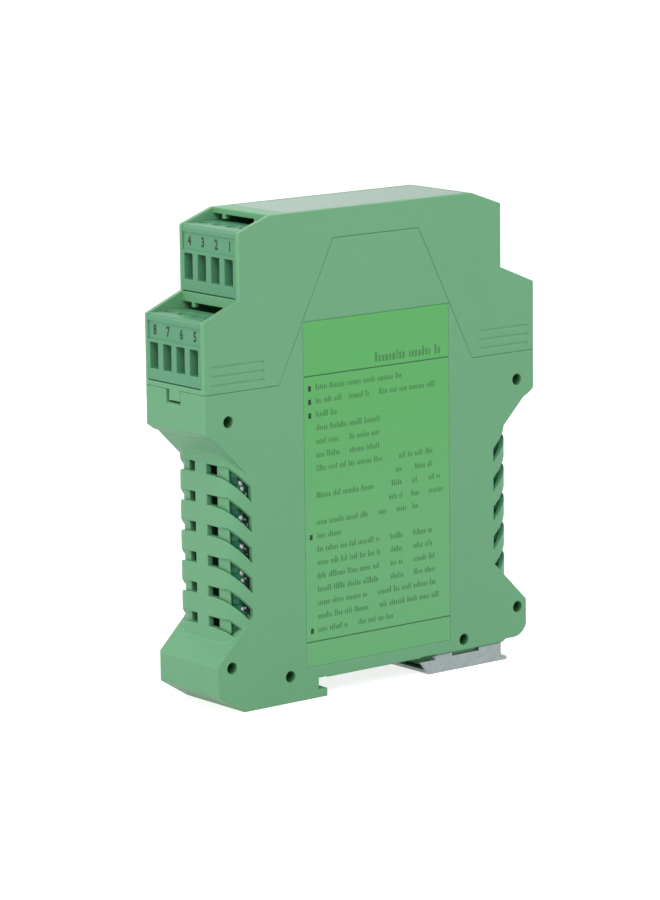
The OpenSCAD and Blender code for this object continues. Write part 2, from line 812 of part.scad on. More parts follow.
module latch_side() {
    side_z = seat_z - latch_gap;
    dip_x = keel_x0 + ear_l + ear_d;
    dip_l = 2 * ear_l;
    dip_h = sheet_t;
    polygon([
        [nose_x + nose_lean, 0],
        [nose_x, nose_top_z],
        [keel_x0, nose_top_z],
        [keel_x0, side_z],
        [dip_x, side_z],
        [dip_x, side_z - dip_h],
        [dip_x + dip_l, side_z - dip_h],
        [dip_x + dip_l, side_z],
        [latch_end_x, side_z],
        [latch_end_x, 0]
    ]);
}

module foot_latch() {
    lip_x = latch_end_x + lip_l;
    color(sheet_metal) {
        difference() {
            block(nose_x + nose_lean, lip_x, -latch_w / 2, latch_w / 2, 0, sheet_t);
            block(lip_x - lip_l / 2 - lip_slot_l / 2, lip_x - lip_l / 2 + lip_slot_l / 2,
                  -lip_slot_w / 2, lip_slot_w / 2, -over, sheet_t + over);
        }
        both_sides() {
            translate([0, (latch_w - sheet_t) / 2, 0]) across(sheet_t) latch_side();
            block(ear_x, ear_x + ear_l, keel_w / 2 - ear_d, latch_w / 2 - sheet_t / 2, ear_z, ear_z + sheet_t);
        }
        block(spring_tab_x, spring_tab_x + sheet_t, -spring_r, spring_r, 0, spring_tab_h);
    }
}

// The return spring: one unbroken wire, swept along a helix on the latch's axis
spring_rings = 8;
spring_sides = 6;
spring_pitch = (spring_l - wire_d) / spring_turns;
echo("least gap between the latch spring's turns", spring_pitch - wire_d);

function spring_point(i) =
    let (a = turn * i / spring_rings, x = wire_d / 2 + spring_pitch * i / spring_rings)
    [spring_x + x, spring_r * cos(a), spring_z + spring_r * sin(a)];

module latch_spring() {
    count = spring_turns * spring_rings;
    rings = [for (i = [0:count]) let (c = spring_point(i), a = turn * i / spring_rings)
        for (s = [0:spring_sides - 1]) let (b = turn * s / spring_sides, r = wire_d / 2 * cos(b))
            c + [wire_d / 2 * sin(b), r * cos(a), r * sin(a)]];
    walls = [for (i = [0:count - 1], s = [0:spring_sides - 1])
        let (a = i * spring_sides + s, b = i * spring_sides + (s + 1) % spring_sides)
            each [[a, b + spring_sides, b], [a, a + spring_sides, b + spring_sides]]];
    first = [for (s = [1:spring_sides - 2]) [0, s, s + 1]];
    last = [for (s = [1:spring_sides - 2])
        [count * spring_sides, count * spring_sides + s + 1, count * spring_sides + s]];
    color(tin_metal) polyhedron(points = rings, faces = concat(walls, first, last));
}

board_high_z = high_roof_z - 2 * wall_t;

module main_board() {
    high_x = upper_l / 2 - board_edge_x;
    low_x = body_l / 2 - board_edge_x;
    step_z = low_roof_z - wall_t / 2;
    waist_z = base_z - wall_t;
    half = [
        [board_l / 2, board_low_z],
        [board_l / 2, waist_z],
        [low_x, waist_z],
        [low_x, step_z],
        [high_x, step_z],
        [high_x, board_high_z]
    ];
    n = len(half);
    hole_w = pin_w + 2 * pin_gap;
    color(board_green) difference() {
        translate([0, (board_y + board_back_y) / 2, 0]) across(board_t)
            polygon(concat(half, [for (i = [n - 1:-1:0]) [-half[i][0], half[i][1]]]));
        for (p = [1:4]) at_plug(p) for (k = [0:3]) let (x = first_bend_x + k * pin_step)
            block(x - hole_w / 2, x + hole_w / 2, board_back_y - over, board_y + over,
                  pin_z - hole_w / 2, pin_z + hole_w / 2);
    }
}

// The transformer stands on the board, its winding round the core's middle leg
leg_l = core_l / 4;
yoke_h = core_h / 6;
core_y = board_y + core_t * 3 / 4 + yoke_h;
bobbin_gap = board_gap;
spool_t = bobbin_gap * 6;
flange_l = core_l / 2 + leg_l / 2 + core_l / 8 - 2 * bobbin_gap;

module transformer_core() {
    window_l = (core_l - leg_l) / 2 - core_l / 8;
    window_x = leg_l / 2;
    color(ferrite_grey) difference() {
        block(-core_l / 2, core_l / 2, core_y - core_t / 2, core_y + core_t / 2,
              core_z - core_h / 2, core_z + core_h / 2);
        both_ends() block(window_x, window_x + window_l, core_y - core_t, core_y + core_t,
                          core_z - core_h / 2 + yoke_h, core_z + core_h / 2 - yoke_h);
    }
}

spool_l = leg_l + 2 * (bobbin_gap + spool_t);
spool_w = core_t + 2 * (bobbin_gap + spool_t);
spool_h = core_h - 2 * yoke_h - 2 * bobbin_gap;
winding_l = core_l * 3 / 4 - 4 * bobbin_gap;
winding_w = core_t * 2;

module transformer_bobbin() {
    color(part_black) difference() {
        union() {
            block(-spool_l / 2, spool_l / 2, core_y - spool_w / 2, core_y + spool_w / 2,
                  core_z - spool_h / 2, core_z + spool_h / 2);
            for (sz = [-1, 1]) translate([0, 0, core_z + sz * (spool_h - spool_t) / 2])
                block(-winding_l / 2, winding_l / 2, board_y, core_y + winding_w / 2,
                      -spool_t / 2, spool_t / 2);
        }
        block(-leg_l / 2 - bobbin_gap, leg_l / 2 + bobbin_gap,
              core_y - core_t / 2 - bobbin_gap, core_y + core_t / 2 + bobbin_gap,
              core_z - core_h, core_z + core_h);
    }
}

module transformer_winding() {
    h = spool_h - 2 * spool_t - 2 * bobbin_gap;
    color(copper_red) translate([0, core_y, core_z - h / 2]) linear_extrude(height = h) difference() {
        round_plan(winding_l - 4 * bobbin_gap, winding_w - 4 * bobbin_gap, core_t / 3);
        square([spool_l + 2 * bobbin_gap, spool_w + 2 * bobbin_gap], center = true);
    }
}

cap_place_shares = [[-0.62, 0.3], [0.62, 0.3], [0.62, 0.86]];
opto_place_shares = [[-0.6, 0.62], [0.62, 0.6]];
chip_place_shares = [[-0.18, 0.22], [0.2, 0.22], [-0.5, 0.92]];
waist_h = base_z - board_low_z;

module on_board(share) {
    translate([share[0] * board_l / 2, board_y, board_low_z + share[1] * waist_h]) children();
}

module filter_capacitors() {
    bead_r = cap_r / 12;
    color(can_blue) for (p = cap_place_shares) on_board(p) rotate([-90, 0, 0]) difference() {
        cylinder(r = cap_r, h = cap_l);
        translate([0, 0, cap_l * 0.85]) rotate_extrude() translate([cap_r + bead_r / 3, 0]) circle(bead_r * 1.3);
        translate([0, 0, cap_l - bead_r]) cylinder(r = cap_r * 0.8, h = over);
    }
}

// A chip body with a row of gull-wing legs along each long side
module chip(l, w, h, legs, leg_reach) {
    step = l / legs;
    lift = h / 8;
    block(-l / 2, l / 2, lift, h, -w / 2, w / 2);
    for (k = [0:legs - 1], sz = [-1, 1]) translate([(k + 0.5) * step - l / 2, 0, 0]) {
        block(-step / 5, step / 5, 0, lift, min(0, sz * (w / 2 + leg_reach)), max(0, sz * (w / 2 + leg_reach)));
        translate([0, 0, sz * (w + leg_reach) / 2])
            block(-step / 5, step / 5, 0, h / 2, -leg_reach / 2, leg_reach / 2);
    }
}

module optocouplers() {
    color(part_black) for (p = opto_place_shares) on_board(p)
        chip(opto_l, opto_l * 2 / 3, opto_h, 4, opto_h / 4);
}

module control_chips() {
    color(part_black) for (p = chip_place_shares) on_board(p)
        chip(chip_l, chip_l * 2 / 5, chip_h, 8, chip_h / 2);
}

// One bent pin of a header, from the plug's contact to behind the board
module header_pin(k) {
    bend_x = first_bend_x + k * pin_step;
    y = pole_ys[k];
    block(plug_l - pin_reach, bend_x + pin_w / 2, y - pin_w / 2, y + pin_w / 2,
          pin_z - pin_w / 2, pin_z + pin_w / 2);
    block(bend_x - pin_w / 2, bend_x + pin_w / 2, board_back_y - tail_l, y + pin_w / 2,
          pin_z - pin_w / 2, pin_z + pin_w / 2);
}

module header_pins() {
    color(tin_metal) for (p = [1:4]) at_plug(p) for (k = [0:3]) header_pin(k);
}

module header_body() {
    low_z = nose_z - mate_gap - shroud_t;
    high_z = nose_z + nose_h + mate_gap + shroud_t;
    cavity_x = plug_l + mate_gap;
    difference() {
        block(header_x0, header_x1, -plug_w / 2, plug_w / 2, low_z, high_z);
        block(header_x0 - over, cavity_x, -plug_w / 2 + shroud_side_t, plug_w / 2 - shroud_side_t,
              low_z + shroud_t, high_z - shroud_t);
        for (y = pole_ys)
            block(cavity_x - over, header_x1 + over, y - pin_w / 2, y + pin_w / 2,
                  pin_z - pin_w / 2, pin_z + pin_w / 2);
    }
}

module header(n) {
    color(plug_green) at_plug(n) header_body();
}

module plug_profile() {
    polygon([
        [0, 0],
        [0, plug_h - plug_edge],
        [plug_edge, plug_h],
        [block_l, plug_h],
        [block_l, nose_z + nose_h],
        [plug_l, nose_z + nose_h],
        [plug_l, nose_z],
        [block_l, nose_z],
        [block_l, 0]
    ]);
}

// What is cut for one terminal: wire entry, cage pocket, screw well, contact chamber
module terminal_cut() {
    pocket_w = cage_w + 2 * cage_gap;
    pocket_l = cage_l + 2 * cage_play;
    chamber_w = contact_w + 2 * contact_gap;
    pin_hole_w = pin_w + 2 * contact_gap + 2 * pin_gap;
    block(-over, clamp_x, -wire_w / 2, wire_w / 2, wire_z, wire_z + wire_h);
    block(clamp_x - pocket_l / 2, clamp_x + pocket_l / 2, -pocket_w / 2, pocket_w / 2,
          pocket_low_z, pocket_high_z);
    block(clamp_x, plug_l - nose_tip_t, -chamber_w / 2, chamber_w / 2,
          bar_top_z - blade_h - contact_gap, bar_top_z + contact_gap);
    block(clamp_x, plug_l + over, -pin_hole_w / 2, pin_hole_w / 2, pin_z - pin_hole_w / 2, pin_z + pin_hole_w / 2);
    translate([clamp_x, 0, pocket_high_z - over]) cylinder(r = screw_r + screw_gap, h = plug_h);
    translate([clamp_x, 0, head_z]) cylinder(r = head_r + screw_gap, h = plug_h);
}

module plug_body() {
    difference() {
        union() {
            across(nose_w) plug_profile();
            intersection() {
                across(plug_w) plug_profile();
                block(0, block_l, -plug_w / 2, plug_w / 2, 0, plug_h);
            }
        }
        block(-over, band_d, -plug_w / 2 - over, plug_w / 2 + over, band_z, band_z + band_h);
        for (y = pole_ys) translate([0, y, 0]) terminal_cut();
    }
}

module plug(n) {
    color(plug_green) at_plug(n) plug_body();
}

// A contact: the bar over the wire, and two blades that grip the header pin
module contact() {
    block(contact_x0, contact_x1, -contact_w / 2, contact_w / 2, bar_z, bar_top_z);
    both_sides()
        block(clamp_x + cage_l / 2 + cage_play, contact_x1, blade_y, blade_y + strip_t,
              bar_top_z - blade_h, bar_z + bar_t / 2);
}

module contacts(n) {
    color(tin_metal) at_plug(n) for (y = pole_ys) translate([0, y, 0]) contact();
}

module at_clamp(n) {
    at_plug(clamp_plug(n)) translate([clamp_x, pole_ys[clamp_pole(n)], 0]) children();
}

module clamp_screw(n) {
    tip_z = bar_top_z + pin_gap;
    color(tin_metal) at_clamp(n) difference() {
        union() {
            translate([0, 0, tip_z]) cylinder(r = screw_r, h = head_z - tip_z);
            translate([0, 0, head_z]) cylinder(r = head_r, h = head_h);
        }
        block(-head_r - over, head_r + over, -driver_w / 2, driver_w / 2,
              head_z + head_h - driver_d, head_z + head_h + over);
    }
}

module clamp_cage(n) {
    color(tin_metal) at_clamp(n) difference() {
        block(-cage_l / 2, cage_l / 2, -cage_w / 2, cage_w / 2, cage_z, cage_z + cage_h);
        block(-cage_l, cage_l, cage_side_t - cage_w / 2, cage_w / 2 - cage_side_t,
              cage_z + cage_low_t, cage_z + cage_low_t + window_h);
        translate([0, 0, cage_z + cage_low_t + window_h - over])
            cylinder(r = screw_r + screw_gap, h = cage_top_t + 2 * over);
    }
}

base();
cover();
front_plate();
side_label();
foot_latch();
latch_spring();
main_board();
transformer_core();
transformer_bobbin();
transformer_winding();
filter_capacitors();
optocouplers();
control_chips();
header_pins();
for (n = [1:4]) header(n);
for (n = [1:4]) plug(n);
for (n = [1:4]) contacts(n);
for (n = [1:16]) clamp_screw(n);
for (n = [1:16]) clamp_cage(n);
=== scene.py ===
import math
import random

import bmesh
import bpy
from mathutils import Matrix, Vector


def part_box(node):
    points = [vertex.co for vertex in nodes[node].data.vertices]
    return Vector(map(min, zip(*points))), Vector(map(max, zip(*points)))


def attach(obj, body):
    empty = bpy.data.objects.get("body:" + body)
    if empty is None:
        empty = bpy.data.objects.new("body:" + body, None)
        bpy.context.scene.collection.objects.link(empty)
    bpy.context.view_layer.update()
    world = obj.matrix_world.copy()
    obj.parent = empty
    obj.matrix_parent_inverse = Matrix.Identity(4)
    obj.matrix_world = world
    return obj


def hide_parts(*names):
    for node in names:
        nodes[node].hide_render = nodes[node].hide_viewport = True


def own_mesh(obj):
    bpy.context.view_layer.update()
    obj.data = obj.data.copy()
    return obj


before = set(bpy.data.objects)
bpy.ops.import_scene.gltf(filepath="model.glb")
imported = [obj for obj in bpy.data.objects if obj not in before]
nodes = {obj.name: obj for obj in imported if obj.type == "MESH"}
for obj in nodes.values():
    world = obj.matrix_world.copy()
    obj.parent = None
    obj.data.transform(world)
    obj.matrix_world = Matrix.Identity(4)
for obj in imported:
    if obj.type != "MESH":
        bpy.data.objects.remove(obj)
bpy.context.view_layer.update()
mm = 0.001
print("frame loaded:", len(nodes), "nodes")


def linear(rgb):
    # colours are written as they look on screen, and the shader wants them linear
    return tuple(c / 12.92 if c <= 0.04045 else ((c + 0.055) / 1.055) ** 2.4 for c in rgb) + (1.0,)


def shade(rgb, factor):
    return tuple(min(1.0, c * factor) for c in rgb)


def putInScene(name, data):
    made = bpy.data.objects.new(name, data)
    bpy.context.scene.collection.objects.link(made)
    return made


# the camera, fitted to the photograph
photoCamera = {
    "yaw": 38.45, "pitch": 10.54, "roll": -0.66,       # degrees
    "across": -3.49, "up": 54.14, "distance": 1004.3,  # mm
    "focalPixels": 4215.6, "longSidePixels": 900,
    "sensor": 36.0,                                    # mm
    "clipEnd": 20.0,                                   # m
}


def makeCamera(s):
    yaw, pitch, roll = (math.radians(s[k]) for k in ("yaw", "pitch", "roll"))
    level = math.cos(pitch)
    back = Vector((-math.sin(yaw) * level, -math.cos(yaw) * level, math.sin(pitch)))
    right = Vector((math.cos(yaw), -math.sin(yaw), 0.0))
    up = back.cross(right)
    place = (right * s["across"] + up * s["up"] + back * s["distance"]) * mm
    rolledRight = right * math.cos(roll) + up * math.sin(roll)
    rolledUp = up * math.cos(roll) - right * math.sin(roll)
    data = bpy.data.cameras.new("photoCamera")
    data.sensor_width = s["sensor"]
    data.lens = s["sensor"] * s["focalPixels"] / s["longSidePixels"]
    data.clip_end = s["clipEnd"]
    camera = putInScene("photoCamera", data)
    camera.matrix_world = Matrix((
        (rolledRight.x, rolledUp.x, back.x, place.x),
        (rolledRight.y, rolledUp.y, back.y, place.y),
        (rolledRight.z, rolledUp.z, back.z, place.z),
        (0, 0, 0, 1)))
    bpy.context.scene.camera = camera


makeCamera(photoCamera)
print("camera placed")


# helpers for shader trees; a material's settings may name any of these shader inputs
shaderInputs = {"specular": "Specular IOR Level", "ior": "IOR", "metallic": "Metallic",
                "coat": "Coat Weight", "coatRoughness": "Coat Roughness"}


def newMaterial(name, s):
    material = bpy.data.materials.new(name)
    material.use_nodes = True
    tree = material.node_tree
    shader = tree.nodes["Principled BSDF"]
    for key, socket in shaderInputs.items():
        if key in s:
            shader.inputs[socket].default_value = s[key]
    return material, tree, shader


def node(tree, kind, **settings):
    # capitalised keys are sockets, the others are properties
    made = tree.nodes.new(kind)
    for key, value in settings.items():
        if key[0].isupper():
            made.inputs[key.replace("_", " ")].default_value = value
        else:
            setattr(made, key, value)
    return made


def objectPoints(tree, scale=(1, 1, 1)):
    coordinates = tree.nodes.new("ShaderNodeTexCoord")
    mapping = node(tree, "ShaderNodeMapping", Scale=scale)
    tree.links.new(coordinates.outputs["Object"], mapping.inputs["Vector"])
    return mapping.outputs["Vector"]


def noise(tree, vector, scale, detail=3.0, roughness=0.55):
    made = node(tree, "ShaderNodeTexNoise", Scale=scale, Detail=detail, Roughness=roughness)
    tree.links.new(vector, made.inputs["Vector"])
    return made.outputs["Fac"]


def spread(tree, value, low, high, band=(0.3, 0.7)):
    # a noise texture seldom leaves that band
    made = node(tree, "ShaderNodeMapRange", From_Min=band[0], From_Max=band[1],
                To_Min=low, To_Max=high)
    tree.links.new(value, made.inputs["Value"])
    return made.outputs["Result"]


def mixColours(tree, factor, first, second):
    made = node(tree, "ShaderNodeMix", data_type="RGBA")
    tree.links.new(factor, made.inputs["Factor"])
    # the mix node's colour sockets are its inputs 6 and 7, and its output 2
    for socket, colour in ((made.inputs[6], first), (made.inputs[7], second)):
        if isinstance(colour, tuple):
            socket.default_value = colour
        else:
            tree.links.new(colour, socket)
    return made.outputs[2]


def speckled(tree, points, scale, first, second):
    specks = spread(tree, noise(tree, points, scale), 0.0, 1.0)
    return mixColours(tree, specks, linear(first), linear(second))


def bothShades(tree, factor, colour, share):
    # from a little darker than the colour to a little lighter
    return mixColours(tree, factor, linear(shade(colour, 1 - share)),
                      linear(shade(colour, 1 + share)))


def partPast(tree, points, operation, limitY):
    # 1 where Y is less or greater than the limit
    split = tree.nodes.new("ShaderNodeSeparateXYZ")
    tree.links.new(points, split.inputs["Vector"])
    test = node(tree, "ShaderNodeMath", operation=operation)
    test.inputs[1].default_value = limitY
    tree.links.new(split.outputs["Y"], test.inputs[0])
    return test.outputs["Value"]


def edgeMask(tree, radius, samples, sharpness):
    # 1 along the edges, where the rounded normal leaves the flat one
    bevel = node(tree, "ShaderNodeBevel", samples=samples, Radius=radius)
    geometry = tree.nodes.new("ShaderNodeNewGeometry")
    dot = node(tree, "ShaderNodeVectorMath", operation="DOT_PRODUCT")
    tree.links.new(bevel.outputs["Normal"], dot.inputs[0])
    tree.links.new(geometry.outputs["Normal"], dot.inputs[1])
    away = node(tree, "ShaderNodeMath", operation="SUBTRACT", use_clamp=True)
    away.inputs[0].default_value = 1.0
    tree.links.new(dot.outputs["Value"], away.inputs[1])
    grown = node(tree, "ShaderNodeMath", operation="MULTIPLY", use_clamp=True)
    tree.links.new(away.outputs["Value"], grown.inputs[0])
    grown.inputs[1].default_value = sharpness
    return bevel.outputs["Normal"], grown.outputs["Value"]


def roughen(tree, shader, pattern, roughness, band):
    rough = spread(tree, pattern, roughness - band[0], roughness + band[1])
    tree.links.new(rough, shader.inputs["Roughness"])


def emboss(tree, shader, height, strength, depth, normal=None):
    bump = node(tree, "ShaderNodeBump", Strength=strength, Distance=depth * mm)
    tree.links.new(height, bump.inputs["Height"])
    if normal is not None:
        tree.links.new(normal, bump.inputs["Normal"])
    tree.links.new(bump.outputs["Normal"], shader.inputs["Normal"])


def finishSurface(tree, shader, points, s, height=None):
    # roughness from fine noise, and relief from the pattern given or else from finer noise
    roughen(tree, shader, noise(tree, points, s["roughScale"]), s["roughness"], s["roughBand"])
    if height is None:
        height = noise(tree, points, s["bumpScale"])
    emboss(tree, shader, height, s["bumpStrength"], s["bump"])


# moulded plastics; edge, the reach of the painted recess tone, bump and feetHeight are in mm
moulding = {
    "specular": 0.42, "ior": 1.5,
    "cloudDetail": 2.0, "cloudShare": 0.015,
    "highlightNoiseScale": 900.0, "highlightNoiseShare": (0.55, 1.0), "edgeSamples": 4, "edgeSharpness": 14.0,
    "paintedRecessSamples": 8, "paintedRecessBand": (0.12, 0.45),
    "roughBand": (0.05, 0.06), "roughDivide": 6,
    "grainDetail": 4.0, "grainRoughness": 0.6, "bumpStrength": 0.5,
}
# each plastic sets its painted edge highlight and, where given, its painted recess tone: painted
# shade on the shell, painted light in the plug
plastics = {
    "shell": {"colour": (0.440, 0.692, 0.512), "roughness": 0.50, "grain": 5200.0, "bump": 0.020,
              "edge": 0.45, "edgeLight": 1.14, "cloud": 45.0,
              "paintedRecessReach": 4.0, "deep": (0.0, 0.255, 0.035)},
    "plug": {"colour": (0.370, 0.635, 0.472), "roughness": 0.42, "grain": 7500.0, "bump": 0.012,
             "edge": 0.22, "edgeLight": 1.20, "cloud": 120.0,
             "paintedRecessReach": 2.5, "deep": (0.520, 0.900, 0.680)},
    "header": {"colour": (0.300, 0.480, 0.380), "roughness": 0.45, "grain": 7500.0, "bump": 0.012,
               "edge": 0.15, "edgeLight": 1.12, "cloud": 120.0},
    "plate": {"colour": (0.540, 0.675, 0.598), "roughness": 0.38, "grain": 6500.0, "bump": 0.010,
              "edge": 0.15, "edgeLight": 1.06, "cloud": 60.0},
    "bobbin": {"colour": (0.085, 0.085, 0.090), "roughness": 0.45, "grain": 6000.0, "bump": 0.015,
               "edge": 0.12, "edgeLight": 1.6, "cloud": 90.0},
    "chip": {"colour": (0.080, 0.080, 0.086), "roughness": 0.55, "grain": 9000.0, "bump": 0.025,
             "edge": 0.10, "edgeLight": 1.5, "cloud": 150.0,
             "feet": (0.78, 0.78, 0.75), "feetHeight": 0.22},
    "ceramic": {"colour": (0.640, 0.545, 0.425), "roughness": 0.40, "grain": 9000.0, "bump": 0.010,
                "edge": 0.06, "edgeLight": 1.1, "cloud": 300.0},
}


def plastic(name, s, m):
    material, tree, shader = newMaterial(name, m)
    points = objectPoints(tree)
    cloudy = noise(tree, points, s["cloud"], m["cloudDetail"])
    body = bothShades(tree, cloudy, s["colour"], m["cloudShare"])
    rounded, edges = edgeMask(tree, s["edge"] * mm, m["edgeSamples"], m["edgeSharpness"])
    # painted highlight: along the edges the colour is lightened towards edgeLight times itself,
    # broken up by noise
    paintedHighlight = node(tree, "ShaderNodeMath", operation="MULTIPLY")
    tree.links.new(edges, paintedHighlight.inputs[0])
    highlightNoise = spread(tree, noise(tree, points, m["highlightNoiseScale"]), *m["highlightNoiseShare"])
    tree.links.new(highlightNoise, paintedHighlight.inputs[1])
    lit = linear(shade(s["colour"], s["edgeLight"]))
    whole = mixColours(tree, paintedHighlight.outputs["Value"], body, lit)
    if "paintedRecessReach" in s:
        # painted shade and light: deep narrow places, found by occlusion, take a painted tone
        # instead of the plastic's colour, dark on the shell, such as in the keying holes, and
        # lighter than the plastic in the plug's wire entries
        hidden = node(tree, "ShaderNodeAmbientOcclusion", samples=m["paintedRecessSamples"],
                      only_local=True, Distance=s["paintedRecessReach"] * mm)
        depth = spread(tree, hidden.outputs["AO"], 1.0, 0.0, m["paintedRecessBand"])
        whole = mixColours(tree, depth, whole, linear(s["deep"]))
    tree.links.new(whole, shader.inputs["Base Color"])
    coarse = noise(tree, points, s["grain"] / m["roughDivide"])
    roughen(tree, shader, coarse, s["roughness"], m["roughBand"])
    grain = noise(tree, points, s["grain"], m["grainDetail"], m["grainRoughness"])
    emboss(tree, shader, grain, m["bumpStrength"], s["bump"], rounded)
    return material


def chipMaterial(s, m, boardY):
    # the feet of the legs are tinned, the moulded bodies stay black
    material = plastic("chipMould", s, m)
    tree = material.node_tree
    shader = tree.nodes["Principled BSDF"]
    feet = partPast(tree, objectPoints(tree), "LESS_THAN", boardY + s["feetHeight"] * mm)
    mould = shader.inputs["Base Color"].links[0].from_socket
    tree.links.new(mixColours(tree, feet, mould, linear(s["feet"])), shader.inputs["Base Color"])
    tree.links.new(feet, shader.inputs["Metallic"])
    return material


# metals: plated sheet, wire, tin and plated screws; edge and bump are in mm
plating = {"metallic": 0.85, "streakScale": 3.0, "streakDetail": 4.0, "roughBand": (0.07, 0.09),
           "edgeSamples": 4, "bumpStrength": 0.45}
metals = {
    "latchSteel": {"colour": (0.585, 0.612, 0.622), "roughness": 0.36, "brush": (14, 900, 900),
                   "bump": 0.006, "edge": 0.20, "spangle": 1300.0, "spangleShare": 0.045},
    "springSteel": {"colour": (0.60, 0.61, 0.62), "roughness": 0.30, "brush": (40, 40, 40),
                    "bump": 0.004, "edge": 0.05, "spangle": 700.0, "spangleShare": 0.08},
    "tin": {"colour": (0.80, 0.80, 0.775), "roughness": 0.34, "brush": (200, 200, 200),
            "bump": 0.004, "edge": 0.08, "spangle": 900.0, "spangleShare": 0.07},
    "solder": {"colour": (0.72, 0.72, 0.71), "roughness": 0.50, "brush": (200, 200, 200),
               "bump": 0.004, "edge": 0.05, "spangle": 1500.0, "spangleShare": 0.06},
    "screwSteel": {"colour": (0.76, 0.77, 0.765), "roughness": 0.30, "brush": (300, 300, 60),
                   "bump": 0.005, "edge": 0.10, "spangle": 500.0, "spangleShare": 0.06},
    "cageSteel": {"colour": (0.72, 0.73, 0.735), "roughness": 0.34, "brush": (60, 300, 300),
                  "bump": 0.005, "edge": 0.10, "spangle": 400.0, "spangleShare": 0.06},
}


def metal(name, s, m):
    material, tree, shader = newMaterial(name, m)
    crystals = node(tree, "ShaderNodeTexVoronoi", Scale=s["spangle"])
    tree.links.new(objectPoints(tree), crystals.inputs["Vector"])
    grey = tree.nodes.new("ShaderNodeRGBToBW")
    tree.links.new(crystals.outputs["Color"], grey.inputs["Color"])
    body = bothShades(tree, grey.outputs["Val"], s["colour"], s["spangleShare"])
    tree.links.new(body, shader.inputs["Base Color"])
    streaks = noise(tree, objectPoints(tree, s["brush"]), m["streakScale"], m["streakDetail"])
    roughen(tree, shader, streaks, s["roughness"], m["roughBand"])
    rounded = node(tree, "ShaderNodeBevel", samples=m["edgeSamples"], Radius=s["edge"] * mm)
    emboss(tree, shader, streaks, m["bumpStrength"], s["bump"], rounded.outputs["Normal"])
    return material


# the side label: satin film whose green fades down its height
labelFilm = {
    "top": (0.340, 0.722, 0.366), "bottom": (0.405, 0.722, 0.468),
    "fadeFrom": 84.0, "fadeTo": 22.0,                   # mm
    "specular": 0.5, "coat": 0.15, "coatRoughness": 0.3,
    "softDetail": 2.0, "speckScale": 2600.0, "speckShare": 0.16, "speckShade": 0.82,
    "roughness": 0.36, "roughScale": 300.0, "roughBand": (0.05, 0.08),
    "rippleScale": 160.0, "bumpStrength": 0.35,
    "bump": 0.02,                                       # mm
}


def labelMaterial(s):
    material, tree, shader = newMaterial("labelFilm", s)
    points = objectPoints(tree)
    split = tree.nodes.new("ShaderNodeSeparateXYZ")
    tree.links.new(points, split.inputs["Vector"])
    fade = node(tree, "ShaderNodeMapRange", interpolation_type="SMOOTHSTEP",
                From_Min=s["fadeFrom"] * mm, From_Max=s["fadeTo"] * mm)
    tree.links.new(split.outputs["Z"], fade.inputs["Value"])
    film = mixColours(tree, fade.outputs["Result"], linear(s["top"]), linear(s["bottom"]))
    specks = noise(tree, points, s["speckScale"], s["softDetail"])
    printed = mixColours(tree, spread(tree, specks, 0.0, s["speckShare"]), film,
                         linear(shade(s["top"], s["speckShade"])))
    tree.links.new(printed, shader.inputs["Base Color"])
    ripples = noise(tree, points, s["rippleScale"], s["softDetail"])
    finishSurface(tree, shader, points, s, ripples)
    return material


# printing inks; thin printing lets what is under it show through in specks; bump is in mm
printing = {"specular": 0.35, "speckScale": 2400.0, "roughScale": 1500.0,
            "roughBand": (0.06, 0.08), "bumpScale": 5000.0, "bump": 0.004, "bumpStrength": 0.3}
inks = {
    "labelInk": {"colour": (0.245, 0.490, 0.270), "fade": (0.330, 0.610, 0.360),
                 "roughness": 0.45},
    "ruleInk": {"colour": (0.160, 0.400, 0.215), "fade": (0.210, 0.450, 0.265),
                "roughness": 0.45},
    "dotInk": {"colour": (0.040, 0.165, 0.080), "fade": (0.080, 0.230, 0.130),
               "roughness": 0.45},
    "numberInk": {"colour": (0.070, 0.190, 0.120), "fade": (0.150, 0.300, 0.210),
                  "roughness": 0.50},
    "boardInk": {"colour": (0.800, 0.840, 0.810), "fade": (0.660, 0.730, 0.690),
                 "roughness": 0.50},
}


def ink(name, s, m):
    material, tree, shader = newMaterial(name, m)
    points = objectPoints(tree)
    body = speckled(tree, points, m["speckScale"], s["colour"], s["fade"])
    tree.links.new(body, shader.inputs["Base Color"])
    finishSurface(tree, shader, points, {**m, **s})
    return material


# the board: copper under a solder mask, as bricks in the board's plane, seen on both faces
boardMask = {
    "mask": (0.060, 0.370, 0.260), "trace": (0.110, 0.460, 0.330), "gapShade": 0.8,
    "traceScale": 420.0, "traceGap": 0.09, "traceLength": 2.3, "traceHeight": 0.62,
    "shift": 0.37, "shiftEvery": 3,
    "specular": 0.3, "coat": 0.08, "coatRoughness": 0.3,
    "roughness": 0.42, "roughScale": 800.0, "roughBand": (0.06, 0.10), "bumpStrength": 0.5,
    "bump": 0.03,                                       # mm
}


def boardMaterial(s):
    material, tree, shader = newMaterial("solderMask", s)
    points = objectPoints(tree)
    turned = node(tree, "ShaderNodeMapping", Rotation=(math.radians(90), 0, 0))
    tree.links.new(points, turned.inputs["Vector"])
    bricks = node(tree, "ShaderNodeTexBrick", offset=s["shift"], offset_frequency=s["shiftEvery"],
                  Scale=s["traceScale"], Mortar_Size=s["traceGap"], Brick_Width=s["traceLength"],
                  Row_Height=s["traceHeight"], Color1=linear(s["mask"]),
                  Color2=linear(s["trace"]), Mortar=linear(shade(s["mask"], s["gapShade"])))
    tree.links.new(turned.outputs["Vector"], bricks.inputs["Vector"])
    tree.links.new(bricks.outputs["Color"], shader.inputs["Base Color"])
    finishSurface(tree, shader, points, s, bricks.outputs["Fac"])
    return material


